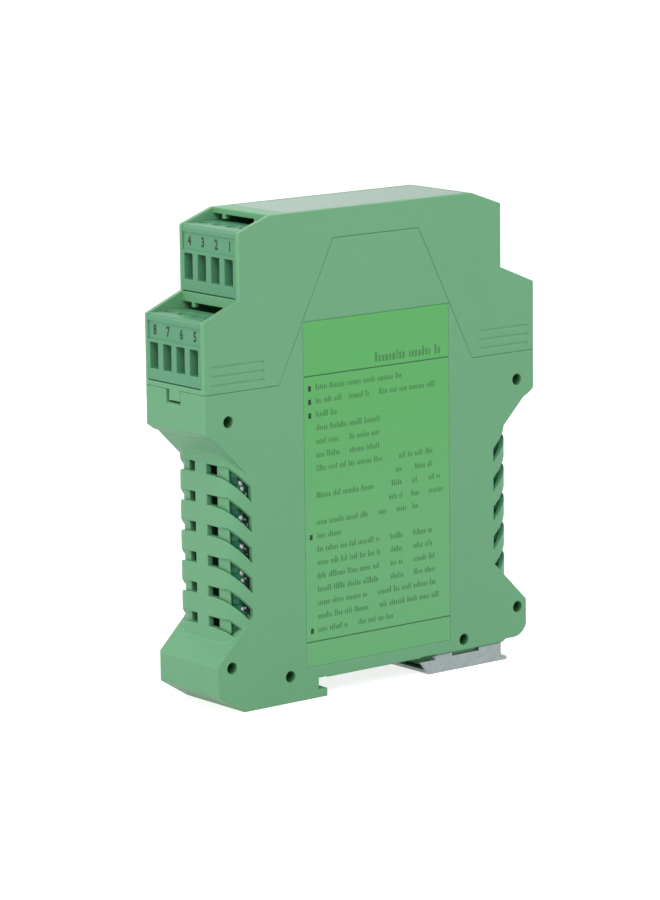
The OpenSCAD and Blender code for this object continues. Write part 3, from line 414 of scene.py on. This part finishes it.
# the transformer's winding under its tape, and its ground ferrite core; bump is in mm
windings = {
    "tape": (0.770, 0.610, 0.190), "lap": (0.610, 0.450, 0.110),
    "laps": 210.0, "wobble": 0.6, "wobbleDetail": 1.0, "specular": 0.5,
    "roughness": 0.35, "roughScale": 700.0, "roughBand": (0.05, 0.1),
    "bump": 0.05, "bumpStrength": 0.5,
}
ferrites = {
    "colour": (0.215, 0.215, 0.230), "fleck": (0.300, 0.300, 0.310), "fleckScale": 3000.0,
    "specular": 0.4, "roughness": 0.62, "roughScale": 1200.0, "roughBand": (0.08, 0.08),
    "bumpScale": 4000.0, "bump": 0.02, "bumpStrength": 0.5,
}


def tapeMaterial(s):
    material, tree, shader = newMaterial("windingTape", s)
    points = objectPoints(tree)
    wave = node(tree, "ShaderNodeTexWave", bands_direction="Z", Scale=s["laps"],
                Distortion=s["wobble"], Detail=s["wobbleDetail"])
    tree.links.new(points, wave.inputs["Vector"])
    body = mixColours(tree, wave.outputs["Fac"], linear(s["lap"]), linear(s["tape"]))
    tree.links.new(body, shader.inputs["Base Color"])
    finishSurface(tree, shader, points, s, wave.outputs["Fac"])
    return material


def ferriteMaterial(s):
    material, tree, shader = newMaterial("groundFerrite", s)
    points = objectPoints(tree)
    body = speckled(tree, points, s["fleckScale"], s["colour"], s["fleck"])
    tree.links.new(body, shader.inputs["Base Color"])
    finishSurface(tree, shader, points, s)
    return material


# the filter capacitors: a dark sleeve with a bare metal lid; lidDepth and bump are in mm
cans = {
    "sleeve": (0.095, 0.120, 0.260), "sleeveLight": 1.15, "sleeveScale": 500.0,
    "lid": (0.740, 0.745, 0.750), "lidDepth": 0.35, "specular": 0.5,
    "roughness": 0.30, "roughScale": 900.0, "roughBand": (0.05, 0.1),
    "bumpScale": 2500.0, "bump": 0.01, "bumpStrength": 0.3,
}


def canMaterial(s, topY):
    material, tree, shader = newMaterial("capacitorCan", s)
    points = objectPoints(tree)
    lid = partPast(tree, points, "GREATER_THAN", topY - s["lidDepth"] * mm)
    light = shade(s["sleeve"], s["sleeveLight"])
    sleeve = speckled(tree, points, s["sleeveScale"], s["sleeve"], light)
    tree.links.new(mixColours(tree, lid, sleeve, linear(s["lid"])), shader.inputs["Base Color"])
    tree.links.new(lid, shader.inputs["Metallic"])
    finishSurface(tree, shader, points, s)
    return material


boardLow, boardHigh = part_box("main_board")

finishes = {"chip": chipMaterial(plastics["chip"], moulding, boardHigh.y)}
for kind, settings in plastics.items():
    if kind != "chip":
        finishes[kind] = plastic(kind + "Plastic", settings, moulding)
for kind, settings in metals.items():
    finishes[kind] = metal(kind, settings, plating)
for kind, settings in inks.items():
    finishes[kind] = ink(kind, settings, printing)
finishes["label"] = labelMaterial(labelFilm)
finishes["board"] = boardMaterial(boardMask)
finishes["tape"] = tapeMaterial(windings)
finishes["ferrite"] = ferriteMaterial(ferrites)
finishes["can"] = canMaterial(cans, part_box("filter_capacitors")[1].y)

wearers = {
    "base": "shell", "cover": "shell", "front_plate": "plate", "side_label": "label",
    "foot_latch": "latchSteel", "latch_spring": "springSteel", "main_board": "board",
    "transformer_core": "ferrite", "transformer_bobbin": "bobbin", "transformer_winding": "tape",
    "filter_capacitors": "can", "optocouplers": "chip", "control_chips": "chip",
    "header_pins": "tin",
}
families = {"header_": "header", "plug_": "plug", "contacts_": "tin",
            "clamp_screw_": "screwSteel", "clamp_cage_": "cageSteel"}


def dress():
    for name, piece in nodes.items():
        finish = wearers.get(name)
        if finish is None:
            finish = next(f for start, f in families.items() if name.startswith(start))
        piece.data.materials.clear()
        piece.data.materials.append(finishes[finish])


dress()
print("materials on every node")


# helpers for geometry trees and plain meshes

def newTree(name, inputs):
    tree = bpy.data.node_groups.new(name, "GeometryNodeTree")
    for label, kind in {"Geometry": "Geometry", **inputs, "Finish": "Material"}.items():
        tree.interface.new_socket(label, in_out="INPUT", socket_type="NodeSocket" + kind)
    tree.interface.new_socket("Geometry", in_out="OUTPUT", socket_type="NodeSocketGeometry")
    return tree, tree.nodes.new("NodeGroupInput"), tree.nodes.new("NodeGroupOutput")


def threeSizes(tree, given, names):
    sizes = tree.nodes.new("ShaderNodeCombineXYZ")
    for name, axis in zip(names, "XYZ"):
        tree.links.new(given.outputs[name], sizes.inputs[axis])
    return sizes.outputs["Vector"]


def onPoints(tree, given, shape, scale=None):
    place = tree.nodes.new("GeometryNodeInstanceOnPoints")
    tree.links.new(given.outputs["Geometry"], place.inputs["Points"])
    tree.links.new(shape, place.inputs["Instance"])
    if scale is not None:
        tree.links.new(scale, place.inputs["Scale"])
    return place.outputs["Instances"]


def closeTree(tree, geometry, given, output, smooth=False):
    realize = tree.nodes.new("GeometryNodeRealizeInstances")
    tree.links.new(geometry, realize.inputs["Geometry"])
    last = realize.outputs["Geometry"]
    if smooth:
        shadeSmooth = tree.nodes.new("GeometryNodeSetShadeSmooth")
        tree.links.new(last, shadeSmooth.inputs["Geometry"])
        last = shadeSmooth.outputs["Geometry"]
    paint = tree.nodes.new("GeometryNodeSetMaterial")
    tree.links.new(last, paint.inputs["Geometry"])
    tree.links.new(given.outputs["Finish"], paint.inputs["Material"])
    tree.links.new(paint.outputs["Geometry"], output.inputs["Geometry"])


def pointCloud(name, points, attributes=None):
    mesh = bpy.data.meshes.new(name)
    mesh.from_pydata(points, [], [])
    for key, values in (attributes or {}).items():
        layer = mesh.attributes.new(key, "FLOAT_VECTOR", "POINT")
        for i, value in enumerate(values):
            layer.data[i].vector = value
    return putInScene(name, mesh)


def growFrom(piece, tree, values, body):
    # runs the tree once and keeps only the plain mesh
    modifier = piece.modifiers.new(tree.name, "NODES")
    modifier.node_group = tree
    for item in tree.interface.items_tree:
        if item.in_out == "INPUT" and item.name in values:
            modifier[item.identifier] = values[item.name]
    graph = bpy.context.evaluated_depsgraph_get()
    mesh = bpy.data.meshes.new_from_object(piece.evaluated_get(graph))
    piece.modifiers.clear()
    mesh.name = piece.name
    piece.data = mesh
    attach(piece, body)
    return piece


def plainPiece(name, vertices, faces, finish):
    mesh = bpy.data.meshes.new(name)
    mesh.from_pydata(vertices, [], faces)
    mesh.materials.append(finishes[finish])
    return putInScene(name, mesh)


# printing on the side label: plain bars where the lines of small print are; lengths are in mm
labelPrint = {
    "firstRow": 73.3, "rowPitch": 3.18, "dots": -19.2, "sink": 0.012,
    "markWidth": (0.26, 0.50), "markGap": 0.24, "markHeights": (0.95, 0.95, 1.0, 1.45),
    "shortest": 3, "longest": 8, "wordGap": 0.62, "seed": 11,
    "dotLength": 0.85, "dotHeight": 1.25,
    "rules": (76.2, 13.5), "ruleHeight": 0.30, "ruleShort": 0.1,
    "title": {"z": 77.35, "from": 0.3, "to": 21.0, "scale": 1.6, "longest": 12},
    # row: dot or none, then stretches of print from one X to another
    "rows": [
        (True, [(-17.4, 8.7)]),
        (True, [(-17.4, -9.5), (-7.5, -1.5), (1.5, 18.5)]),
        (True, [(-17.4, -11.2)]),
        (False, [(-17.4, 1.9)]),
        (False, [(-17.4, -10.5), (-7.5, 1.7)]),
        (False, [(-17.4, -10.5), (-7.5, 1.7)]),
        (False, [(-17.4, 2.4), (7.4, 17.7)]),
        (False, [(6.4, 8.6), (12.2, 17.5)]),
        (False, [(-17.4, -0.1), (5.0, 8.4), (11.2, 13.6), (16.4, 20.4)]),
        (False, [(4.2, 8.2), (11.0, 13.8), (16.4, 20.8)]),
        (False, [(-17.4, -2.0), (1.0, 3.6), (6.5, 9.3), (11.3, 14.2)]),
        (True, [(-17.4, -10.0)]),
        (False, [(-17.4, 1.5), (4.5, 8.4), (11.5, 17.5)]),
        (False, [(-17.4, 1.5), (4.5, 8.4), (11.5, 17.5)]),
        (False, [(-17.4, 1.5), (4.5, 8.4), (11.5, 18.0)]),
        (False, [(-17.4, 1.5), (4.5, 8.4), (11.5, 18.0)]),
        (False, [(-17.4, -2.5), (0.5, 18.7)]),
        (False, [(-17.4, -2.0), (1.0, 19.3)]),
        (True, [(-17.4, -8.5), (-5.5, 5.6)]),
    ],
}


def barTree():
    # a bar on every point, as long and high as its barSize, and as deep as the tree is told
    tree, given, output = newTree("printedBars", {"Depth": "Float"})
    size = node(tree, "GeometryNodeInputNamedAttribute", data_type="FLOAT_VECTOR", Name="barSize")
    cube = node(tree, "GeometryNodeMeshCube", Size=(1, 1, 1))
    depth = node(tree, "ShaderNodeCombineXYZ", X=1.0, Z=1.0)
    tree.links.new(given.outputs["Depth"], depth.inputs["Y"])
    scale = node(tree, "ShaderNodeVectorMath", operation="MULTIPLY")
    tree.links.new(size.outputs["Attribute"], scale.inputs[0])
    tree.links.new(depth.outputs["Vector"], scale.inputs[1])
    bars = onPoints(tree, given, cube.outputs["Mesh"], scale.outputs["Vector"])
    closeTree(tree, bars, given, output)
    return tree


def printLabel(s):
    faceLow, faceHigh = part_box("side_label")
    y = faceLow.y
    chance = random.Random(s["seed"])
    marks, rules, dots = ([], []), ([], []), ([], [])

    def add(kind, x, z, length, height):
        kind[0].append((x * mm, y, z * mm))
        kind[1].append((length * mm, 1.0, height * mm))

    def stretch(x0, x1, baseZ, scale, longest):
        # upright marks in groups, on a common base line
        x = x0
        while x < x1:
            for _ in range(chance.randint(s["shortest"], longest)):
                width = chance.uniform(*s["markWidth"]) * scale
                height = chance.choice(s["markHeights"]) * scale
                if x + width > x1:
                    return
                add(marks, x + width / 2, baseZ + height / 2, width, height)
                x += width + s["markGap"] * scale
            x += s["wordGap"] * scale

    for i, (dotted, stretches) in enumerate(s["rows"]):
        z = s["firstRow"] - i * s["rowPitch"]
        if dotted:
            add(dots, s["dots"], z, s["dotLength"], s["dotHeight"])
        for x0, x1 in stretches:
            stretch(x0, x1, z - s["markHeights"][0] / 2, 1.0, s["longest"])
    t = s["title"]
    stretch(t["from"], t["to"], t["z"], t["scale"], t["longest"])
    middle = (faceLow.x + faceHigh.x) / 2 / mm
    for z in s["rules"]:
        add(rules, middle, z, (faceHigh.x - faceLow.x) / mm - s["ruleShort"], s["ruleHeight"])
    tree = barTree()
    kinds = (("marks", marks, "labelInk"), ("rules", rules, "ruleInk"), ("dots", dots, "dotInk"))
    for name, kind, finish in kinds:
        growFrom(pointCloud("label_" + name, kind[0], {"barSize": kind[1]}), tree,
                 {"Depth": 2 * s["sink"] * mm, "Finish": finishes[finish]}, "housing")


printLabel(labelPrint)
print("label printed")


# numbers over the wire entries
plugNumbers = range(1, 5)
terminalNumbers = {
    "terminals": 4, "pitch": 5.08, "middle": 11.6, "inset": 0.4,      # mm
    "height": 2.3, "boldness": 0.12, "thick": 0.03,                   # mm
    "squeeze": 0.78, "capShare": 0.72, "curveSteps": 4,
}


def endSide(n):
    # plugs and headers 1 and 2 are at the left end
    return -1 if n <= 2 else 1


def numberMesh(text, s):
    curve = bpy.data.curves.new("number", "FONT")
    curve.body = text
    curve.align_x = "CENTER"
    curve.align_y = "CENTER"
    curve.size = s["height"] * mm / s["capShare"]
    curve.offset = s["boldness"] * mm
    curve.extrude = s["thick"] / 2 * mm
    curve.resolution_u = s["curveSteps"]
    holder = putInScene("number", curve)
    graph = bpy.context.evaluated_depsgraph_get()
    mesh = bpy.data.meshes.new_from_object(holder.evaluated_get(graph))
    bpy.data.objects.remove(holder)
    xs = [v.co.x for v in mesh.vertices]
    ys = [v.co.y for v in mesh.vertices]
    centre = Vector(((min(xs) + max(xs)) / 2, (min(ys) + max(ys)) / 2, 0))
    mesh.transform(Matrix.Diagonal((s["squeeze"], 1, 1, 1)) @ Matrix.Translation(-centre))
    return mesh


def numberPlug(n, s):
    low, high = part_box("plug_%d" % n)
    side = endSide(n)
    faceX = (low.x if side < 0 else high.x) - side * s["inset"] * mm
    z = low.z + s["middle"] * mm
    # the text's X goes across the plug, its Y up, and it faces outwards
    turned = Matrix((
        (0, 0, side, 0),
        (side, 0, 0, 0),
        (0, 1, 0, 0),
        (0, 0, 0, 1)))
    vertices, faces = [], []
    for k in range(s["terminals"]):
        mesh = numberMesh(str((n - 1) * s["terminals"] + k + 1), s)
        across = (k - (s["terminals"] - 1) / 2) * s["pitch"] * mm
        mesh.transform(Matrix.Translation(Vector((faceX, across, z))) @ turned)
        start = len(vertices)
        vertices += [v.co.copy() for v in mesh.vertices]
        faces += [[start + i for i in p.vertices] for p in mesh.polygons]
        bpy.data.meshes.remove(mesh)
    piece = plainPiece("plug_%d_numbers" % n, vertices, faces, "numberInk")
    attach(piece, "plug_%d" % n)


for plugNumber in plugNumbers:
    numberPlug(plugNumber, terminalNumbers)
print("terminals numbered")


# the board's bevelled ends, which lie between the posts behind the vents; face and reach count
# outwards from the solid board's ends
boardRims = {"face": 1.0, "reach": 2.0, "bevel": 0.96, "low": 18.2, "high": 57.8}  # mm


def rimBoard(s):
    vertices, faces = [], []
    for side in (-1, 1):
        end = boardHigh.x if side > 0 else boardLow.x
        outline = [(end, boardLow.y), (end + side * s["face"] * mm, boardLow.y),
                   (end + side * s["reach"] * mm, boardLow.y + s["bevel"] * mm),
                   (end + side * s["reach"] * mm, boardHigh.y), (end, boardHigh.y)]
        first, count = len(vertices), len(outline)
        vertices += [(x, y, z * mm) for z in (s["low"], s["high"]) for x, y in outline]
        shell = [tuple(range(count))[::-1], tuple(range(count, 2 * count))]
        shell += [(k, (k + 1) % count, count + (k + 1) % count, count + k) for k in range(count)]
        faces += [tuple(first + i for i in (f if side > 0 else f[::-1])) for f in shell]
    piece = plainPiece("board_rims", vertices, faces, "board")
    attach(piece, "housing")


rimBoard(boardRims)


# solder on the face of the board that shows through the side vents; lengths are in mm
domeShape = {"segments": 12, "rings": 6, "seed": 3}
solderJoints = {"radius": 0.95, "height": 0.50, "smallest": 0.50, "largest": 1.15}
edgeJoints = {"radius": 0.70, "height": 0.36, "smallest": 0.72, "largest": 1.05}
innerRow = {"x": 33.2, "rowPitch": 3.575, "first": 17.8, "count": 12}
pinRow = {"first": 1.2, "pitch": 2.2, "up": 5.0, "count": 4}  # counts inwards from a header's back
# what stands along the board's left end, just behind the side vents: joints at measured places,
# and parts between them, given by each kind's share and its places across
edgeStrip = {
    "from": 19.2, "to": 57.4, "step": 1.43, "seed": 8, "clear": 1.3,
    "joints": [(-38.2, 53.4), (-37.8, 52.0), (-38.25, 45.3), (-38.1, 38.6), (-38.2, 32.4),
               (-38.05, 30.6), (-38.15, 23.9)],
    "shares": {"resistor": (0.50, 37.3, 37.65), "capacitor": (0.16, 37.2, 37.65)},
}


def stripPlaces(s):
    places = {kind: [] for kind in s["shares"]}
    chance = random.Random(s["seed"])
    for k in range(int((s["to"] - s["from"]) / s["step"])):
        z = s["from"] + k * s["step"]
        draw, along = chance.random(), chance.random()
        if any(abs(z - jointZ) < s["clear"] for x, jointZ in s["joints"]):
            continue
        for kind, (share, near, far) in s["shares"].items():
            draw -= share
            if draw < 0:
                places[kind].append((-near - (far - near) * along, z))
                break
    return places


def domeTree(s):
    tree, given, output = newTree("solderDomes", {
        "Radius": "Float", "Height": "Float", "Smallest": "Float", "Largest": "Float",
        "Seed": "Int"})
    ball = node(tree, "GeometryNodeMeshUVSphere", Segments=s["segments"], Rings=s["rings"],
                Radius=1.0)
    vary = node(tree, "FunctionNodeRandomValue", data_type="FLOAT")
    floats = [i for i in vary.inputs if i.type == "VALUE"]
    tree.links.new(given.outputs["Smallest"], floats[0])
    tree.links.new(given.outputs["Largest"], floats[1])
    tree.links.new(given.outputs["Seed"], vary.inputs["Seed"])
    scaled = node(tree, "ShaderNodeVectorMath", operation="SCALE")
    tree.links.new(threeSizes(tree, given, ("Radius", "Height", "Radius")), scaled.inputs[0])
    tree.links.new([o for o in vary.outputs if o.type == "VALUE"][0], scaled.inputs["Scale"])
    domes = onPoints(tree, given, ball.outputs["Mesh"], scaled.outputs["Vector"])
    closeTree(tree, domes, given, output, smooth=True)
    return tree


def solderDomes(name, points, s, shape):
    growFrom(pointCloud(name, points), domeTree(shape),
             {"Radius": s["radius"] * mm, "Height": s["height"] * mm,
              "Smallest": s["smallest"], "Largest": s["largest"],
              "Seed": shape["seed"], "Finish": finishes["solder"]}, "housing")


def jointPlaces(row, pins):
    y = boardLow.y
    points = [(side * row["x"] * mm, y, (row["first"] + k * row["rowPitch"]) * mm)
              for side in (-1, 1) for k in range(row["count"])]
    # one joint round each header pin
    for n in plugNumbers:
        low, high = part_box("header_%d" % n)
        side = endSide(n)
        back = high.x if side < 0 else low.x
        for k in range(pins["count"]):
            inwards = (pins["first"] + pins["pitch"] * k) * mm
            points.append((back - side * inwards, y, low.z + pins["up"] * mm))
    return points


edgePoints = [(x * mm, boardLow.y, z * mm) for x, z in edgeStrip["joints"]]
solderDomes("solder_joints", jointPlaces(innerRow, pinRow), solderJoints, domeShape)
solderDomes("edge_joints", edgePoints, edgeJoints, domeShape)


# resistors, capacitors and diodes with tinned tips; size is length, depth and height in mm, and
# tipProud is how much deeper the tips are than the body
smallParts = {
    "size": (1.6, 0.42, 0.8), "pitch": 4.6, "count": 11, "columns": (-31.5, 31.5, -14.0, 14.0),
    "wander": 0.8, "share": 0.75, "first": 18.0, "seed": 5,
    "tipShare": 0.25, "tipHeight": 0.83, "tipProud": 1.06,
}
diodes = {
    "size": (1.5, 0.53, 1.75), "pitch": 2.3, "count": 17, "columns": (-36.9,),
    "wander": 0.20, "share": 0.75, "first": 19.6, "seed": 6,
    "tipShare": 0.10, "tipHeight": 0.45, "tipProud": 1.06,
}
boardMarks = {
    "length": 0.8, "height": 0.45, "sink": 0.015, "pitch": 6.9, "count": 5,
    "columns": (-34.9, 34.9), "wander": 0.4, "share": 0.8, "first": 21.0, "seed": 4,
}


def smallPartTree():
    tree, given, output = newTree("smallParts", {
        "Length": "Float", "Depth": "Float", "Height": "Float"})
    box = tree.nodes.new("GeometryNodeMeshCube")
    size = threeSizes(tree, given, ("Length", "Depth", "Height"))
    tree.links.new(size, box.inputs["Size"])
    closeTree(tree, onPoints(tree, given, box.outputs["Mesh"]), given, output)
    return tree


def scatterParts(s):
    chance = random.Random(s["seed"])
    places = []
    for x in s["columns"]:
        for k in range(s["count"]):
            if chance.random() < s["share"]:
                shifted = x + chance.uniform(-1, 1) * s["wander"]
                places.append((shifted, s["first"] + k * s["pitch"]))
    return places


def placeSmallParts(kind, finish, places, s):
    length, depth, height = s["size"]
    y = boardLow.y - depth * mm / 2
    tree = smallPartTree()
    tip = length * s["tipShare"]
    bodies = [(x * mm, y, z * mm) for x, z in places]
    growFrom(pointCloud(kind + "_bodies", bodies), tree,
             {"Length": (length - 2 * tip) * mm, "Depth": depth * mm, "Height": height * mm,
              "Finish": finishes[finish]}, "housing")
    out = (length - tip) / 2
    tips = [((x + side * out) * mm, y, z * mm) for x, z in places for side in (-1, 1)]
    growFrom(pointCloud(kind + "_tips", tips), tree,
             {"Length": tip * mm, "Depth": depth * s["tipProud"] * mm,
              "Height": s["tipHeight"] * mm, "Finish": finishes["tin"]}, "housing")


def markBoard(places, s):
    points = [(x * mm, boardLow.y, z * mm) for x, z in places]
    sizes = [(s["length"] * mm, 1.0, s["height"] * mm)] * len(points)
    growFrom(pointCloud("board_marks", points, {"barSize": sizes}), barTree(),
             {"Depth": 2 * s["sink"] * mm, "Finish": finishes["boardInk"]}, "housing")


edgePlaces = stripPlaces(edgeStrip)
resistorPlaces = scatterParts(smallParts) + edgePlaces["resistor"]
placeSmallParts("resistor", "bobbin", resistorPlaces, smallParts)
placeSmallParts("capacitor", "ceramic", edgePlaces["capacitor"], smallParts)
placeSmallParts("diode", "bobbin", scatterParts(diodes), diodes)
markBoard(scatterParts(boardMarks), boardMarks)
print("board dressed")


# the latch's return spring: a welded copy of its solid, put with the housing in place of the
# imported one
returnSpring = {"fixedEnd": 36.0, "weld": 0.0005}  # mm


def coilSpring(s):
    mesh = nodes["latch_spring"].data.copy()
    mesh.name = "coil_spring"
    solid = bmesh.new()
    solid.from_mesh(mesh)
    bmesh.ops.remove_doubles(solid, verts=solid.verts, dist=s["weld"] * mm)
    solid.to_mesh(mesh)
    solid.free()
    piece = putInScene("coil_spring", mesh)
    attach(piece, "housing")
    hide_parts("latch_spring")
    low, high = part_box("latch_spring")
    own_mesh(piece)


coilSpring(returnSpring)
print("spring copied and welded")


# floor, backdrop and light
studio = {
    "floorZ": -0.05, "floorSize": 6000.0,                 # mm
    "floorShade": 0.62, "floorGlow": 0.80, "ambient": 0.43,
    "aim": (0, 0, 55),                                    # mm
    # place and size in mm, power in watts
    "lamps": {
        "key": {"place": (-520, -640, 760), "size": 620, "power": 4.42},
        "fill": {"place": (620, -760, 420), "size": 700, "power": 1.85},
        "end": {"place": (-900, 160, 320), "size": 520, "power": 2.15},
        "back": {"place": (260, 700, 620), "size": 620, "power": 1.5},
    },
}


def addSeen(tree):
    # 1 for rays that show the background: straight, mirrored or through glass
    paths = tree.nodes.new("ShaderNodeLightPath")
    seen = paths.outputs["Is Camera Ray"]
    for other in ("Is Glossy Ray", "Is Transmission Ray"):
        either = node(tree, "ShaderNodeMath", operation="MAXIMUM")
        tree.links.new(seen, either.inputs[0])
        tree.links.new(paths.outputs[other], either.inputs[1])
        seen = either.outputs["Value"]
    return seen


def makeFloor(s):
    half = s["floorSize"] / 2 * mm
    z = s["floorZ"] * mm
    corners = [(x * half, y * half, z) for x, y in ((-1, -1), (1, -1), (1, 1), (-1, 1))]
    mesh = bpy.data.meshes.new("floor")
    mesh.from_pydata(corners, [], [(0, 1, 2, 3)])
    floor = putInScene("floor", mesh)
    material = bpy.data.materials.new("paleFloor")
    material.use_nodes = True
    tree = material.node_tree
    tree.nodes.clear()
    output = tree.nodes.new("ShaderNodeOutputMaterial")
    grade = s["floorShade"]
    matte = node(tree, "ShaderNodeBsdfDiffuse", Color=(grade, grade, grade, 1))
    glow = tree.nodes.new("ShaderNodeEmission")
    strength = node(tree, "ShaderNodeMath", operation="MULTIPLY")
    strength.inputs[1].default_value = s["floorGlow"]
    tree.links.new(addSeen(tree), strength.inputs[0])
    tree.links.new(strength.outputs["Value"], glow.inputs["Strength"])
    both = tree.nodes.new("ShaderNodeAddShader")
    tree.links.new(matte.outputs["BSDF"], both.inputs[0])
    tree.links.new(glow.outputs["Emission"], both.inputs[1])
    # clear from underneath, so that the underside can be looked at
    side = tree.nodes.new("ShaderNodeNewGeometry")
    clear = tree.nodes.new("ShaderNodeBsdfTransparent")
    oneSided = tree.nodes.new("ShaderNodeMixShader")
    tree.links.new(side.outputs["Backfacing"], oneSided.inputs["Fac"])
    tree.links.new(both.outputs["Shader"], oneSided.inputs[1])
    tree.links.new(clear.outputs["BSDF"], oneSided.inputs[2])
    tree.links.new(oneSided.outputs["Shader"], output.inputs["Surface"])
    floor.data.materials.append(material)


def makeWorld(s):
    world = bpy.data.worlds.new("studioWorld")
    bpy.context.scene.world = world
    world.use_nodes = True
    tree = world.node_tree
    background = tree.nodes["Background"]
    background.inputs["Color"].default_value = (1, 1, 1, 1)
    strength = node(tree, "ShaderNodeMapRange", To_Min=s["ambient"], To_Max=1.0)
    tree.links.new(addSeen(tree), strength.inputs["Value"])
    tree.links.new(strength.outputs["Result"], background.inputs["Strength"])


def makeLamps(s):
    aim = Vector(s["aim"]) * mm
    for name, lamp in s["lamps"].items():
        data = bpy.data.lights.new(name, "AREA")
        data.energy = lamp["power"]
        data.size = lamp["size"] * mm
        holder = putInScene(name, data)
        holder.location = Vector(lamp["place"]) * mm
        holder.rotation_euler = (aim - holder.location).to_track_quat("-Z", "Y").to_euler()


makeFloor(studio)
makeWorld(studio)
makeLamps(studio)
bpy.context.scene.view_settings.view_transform = "Standard"
print("studio lit")
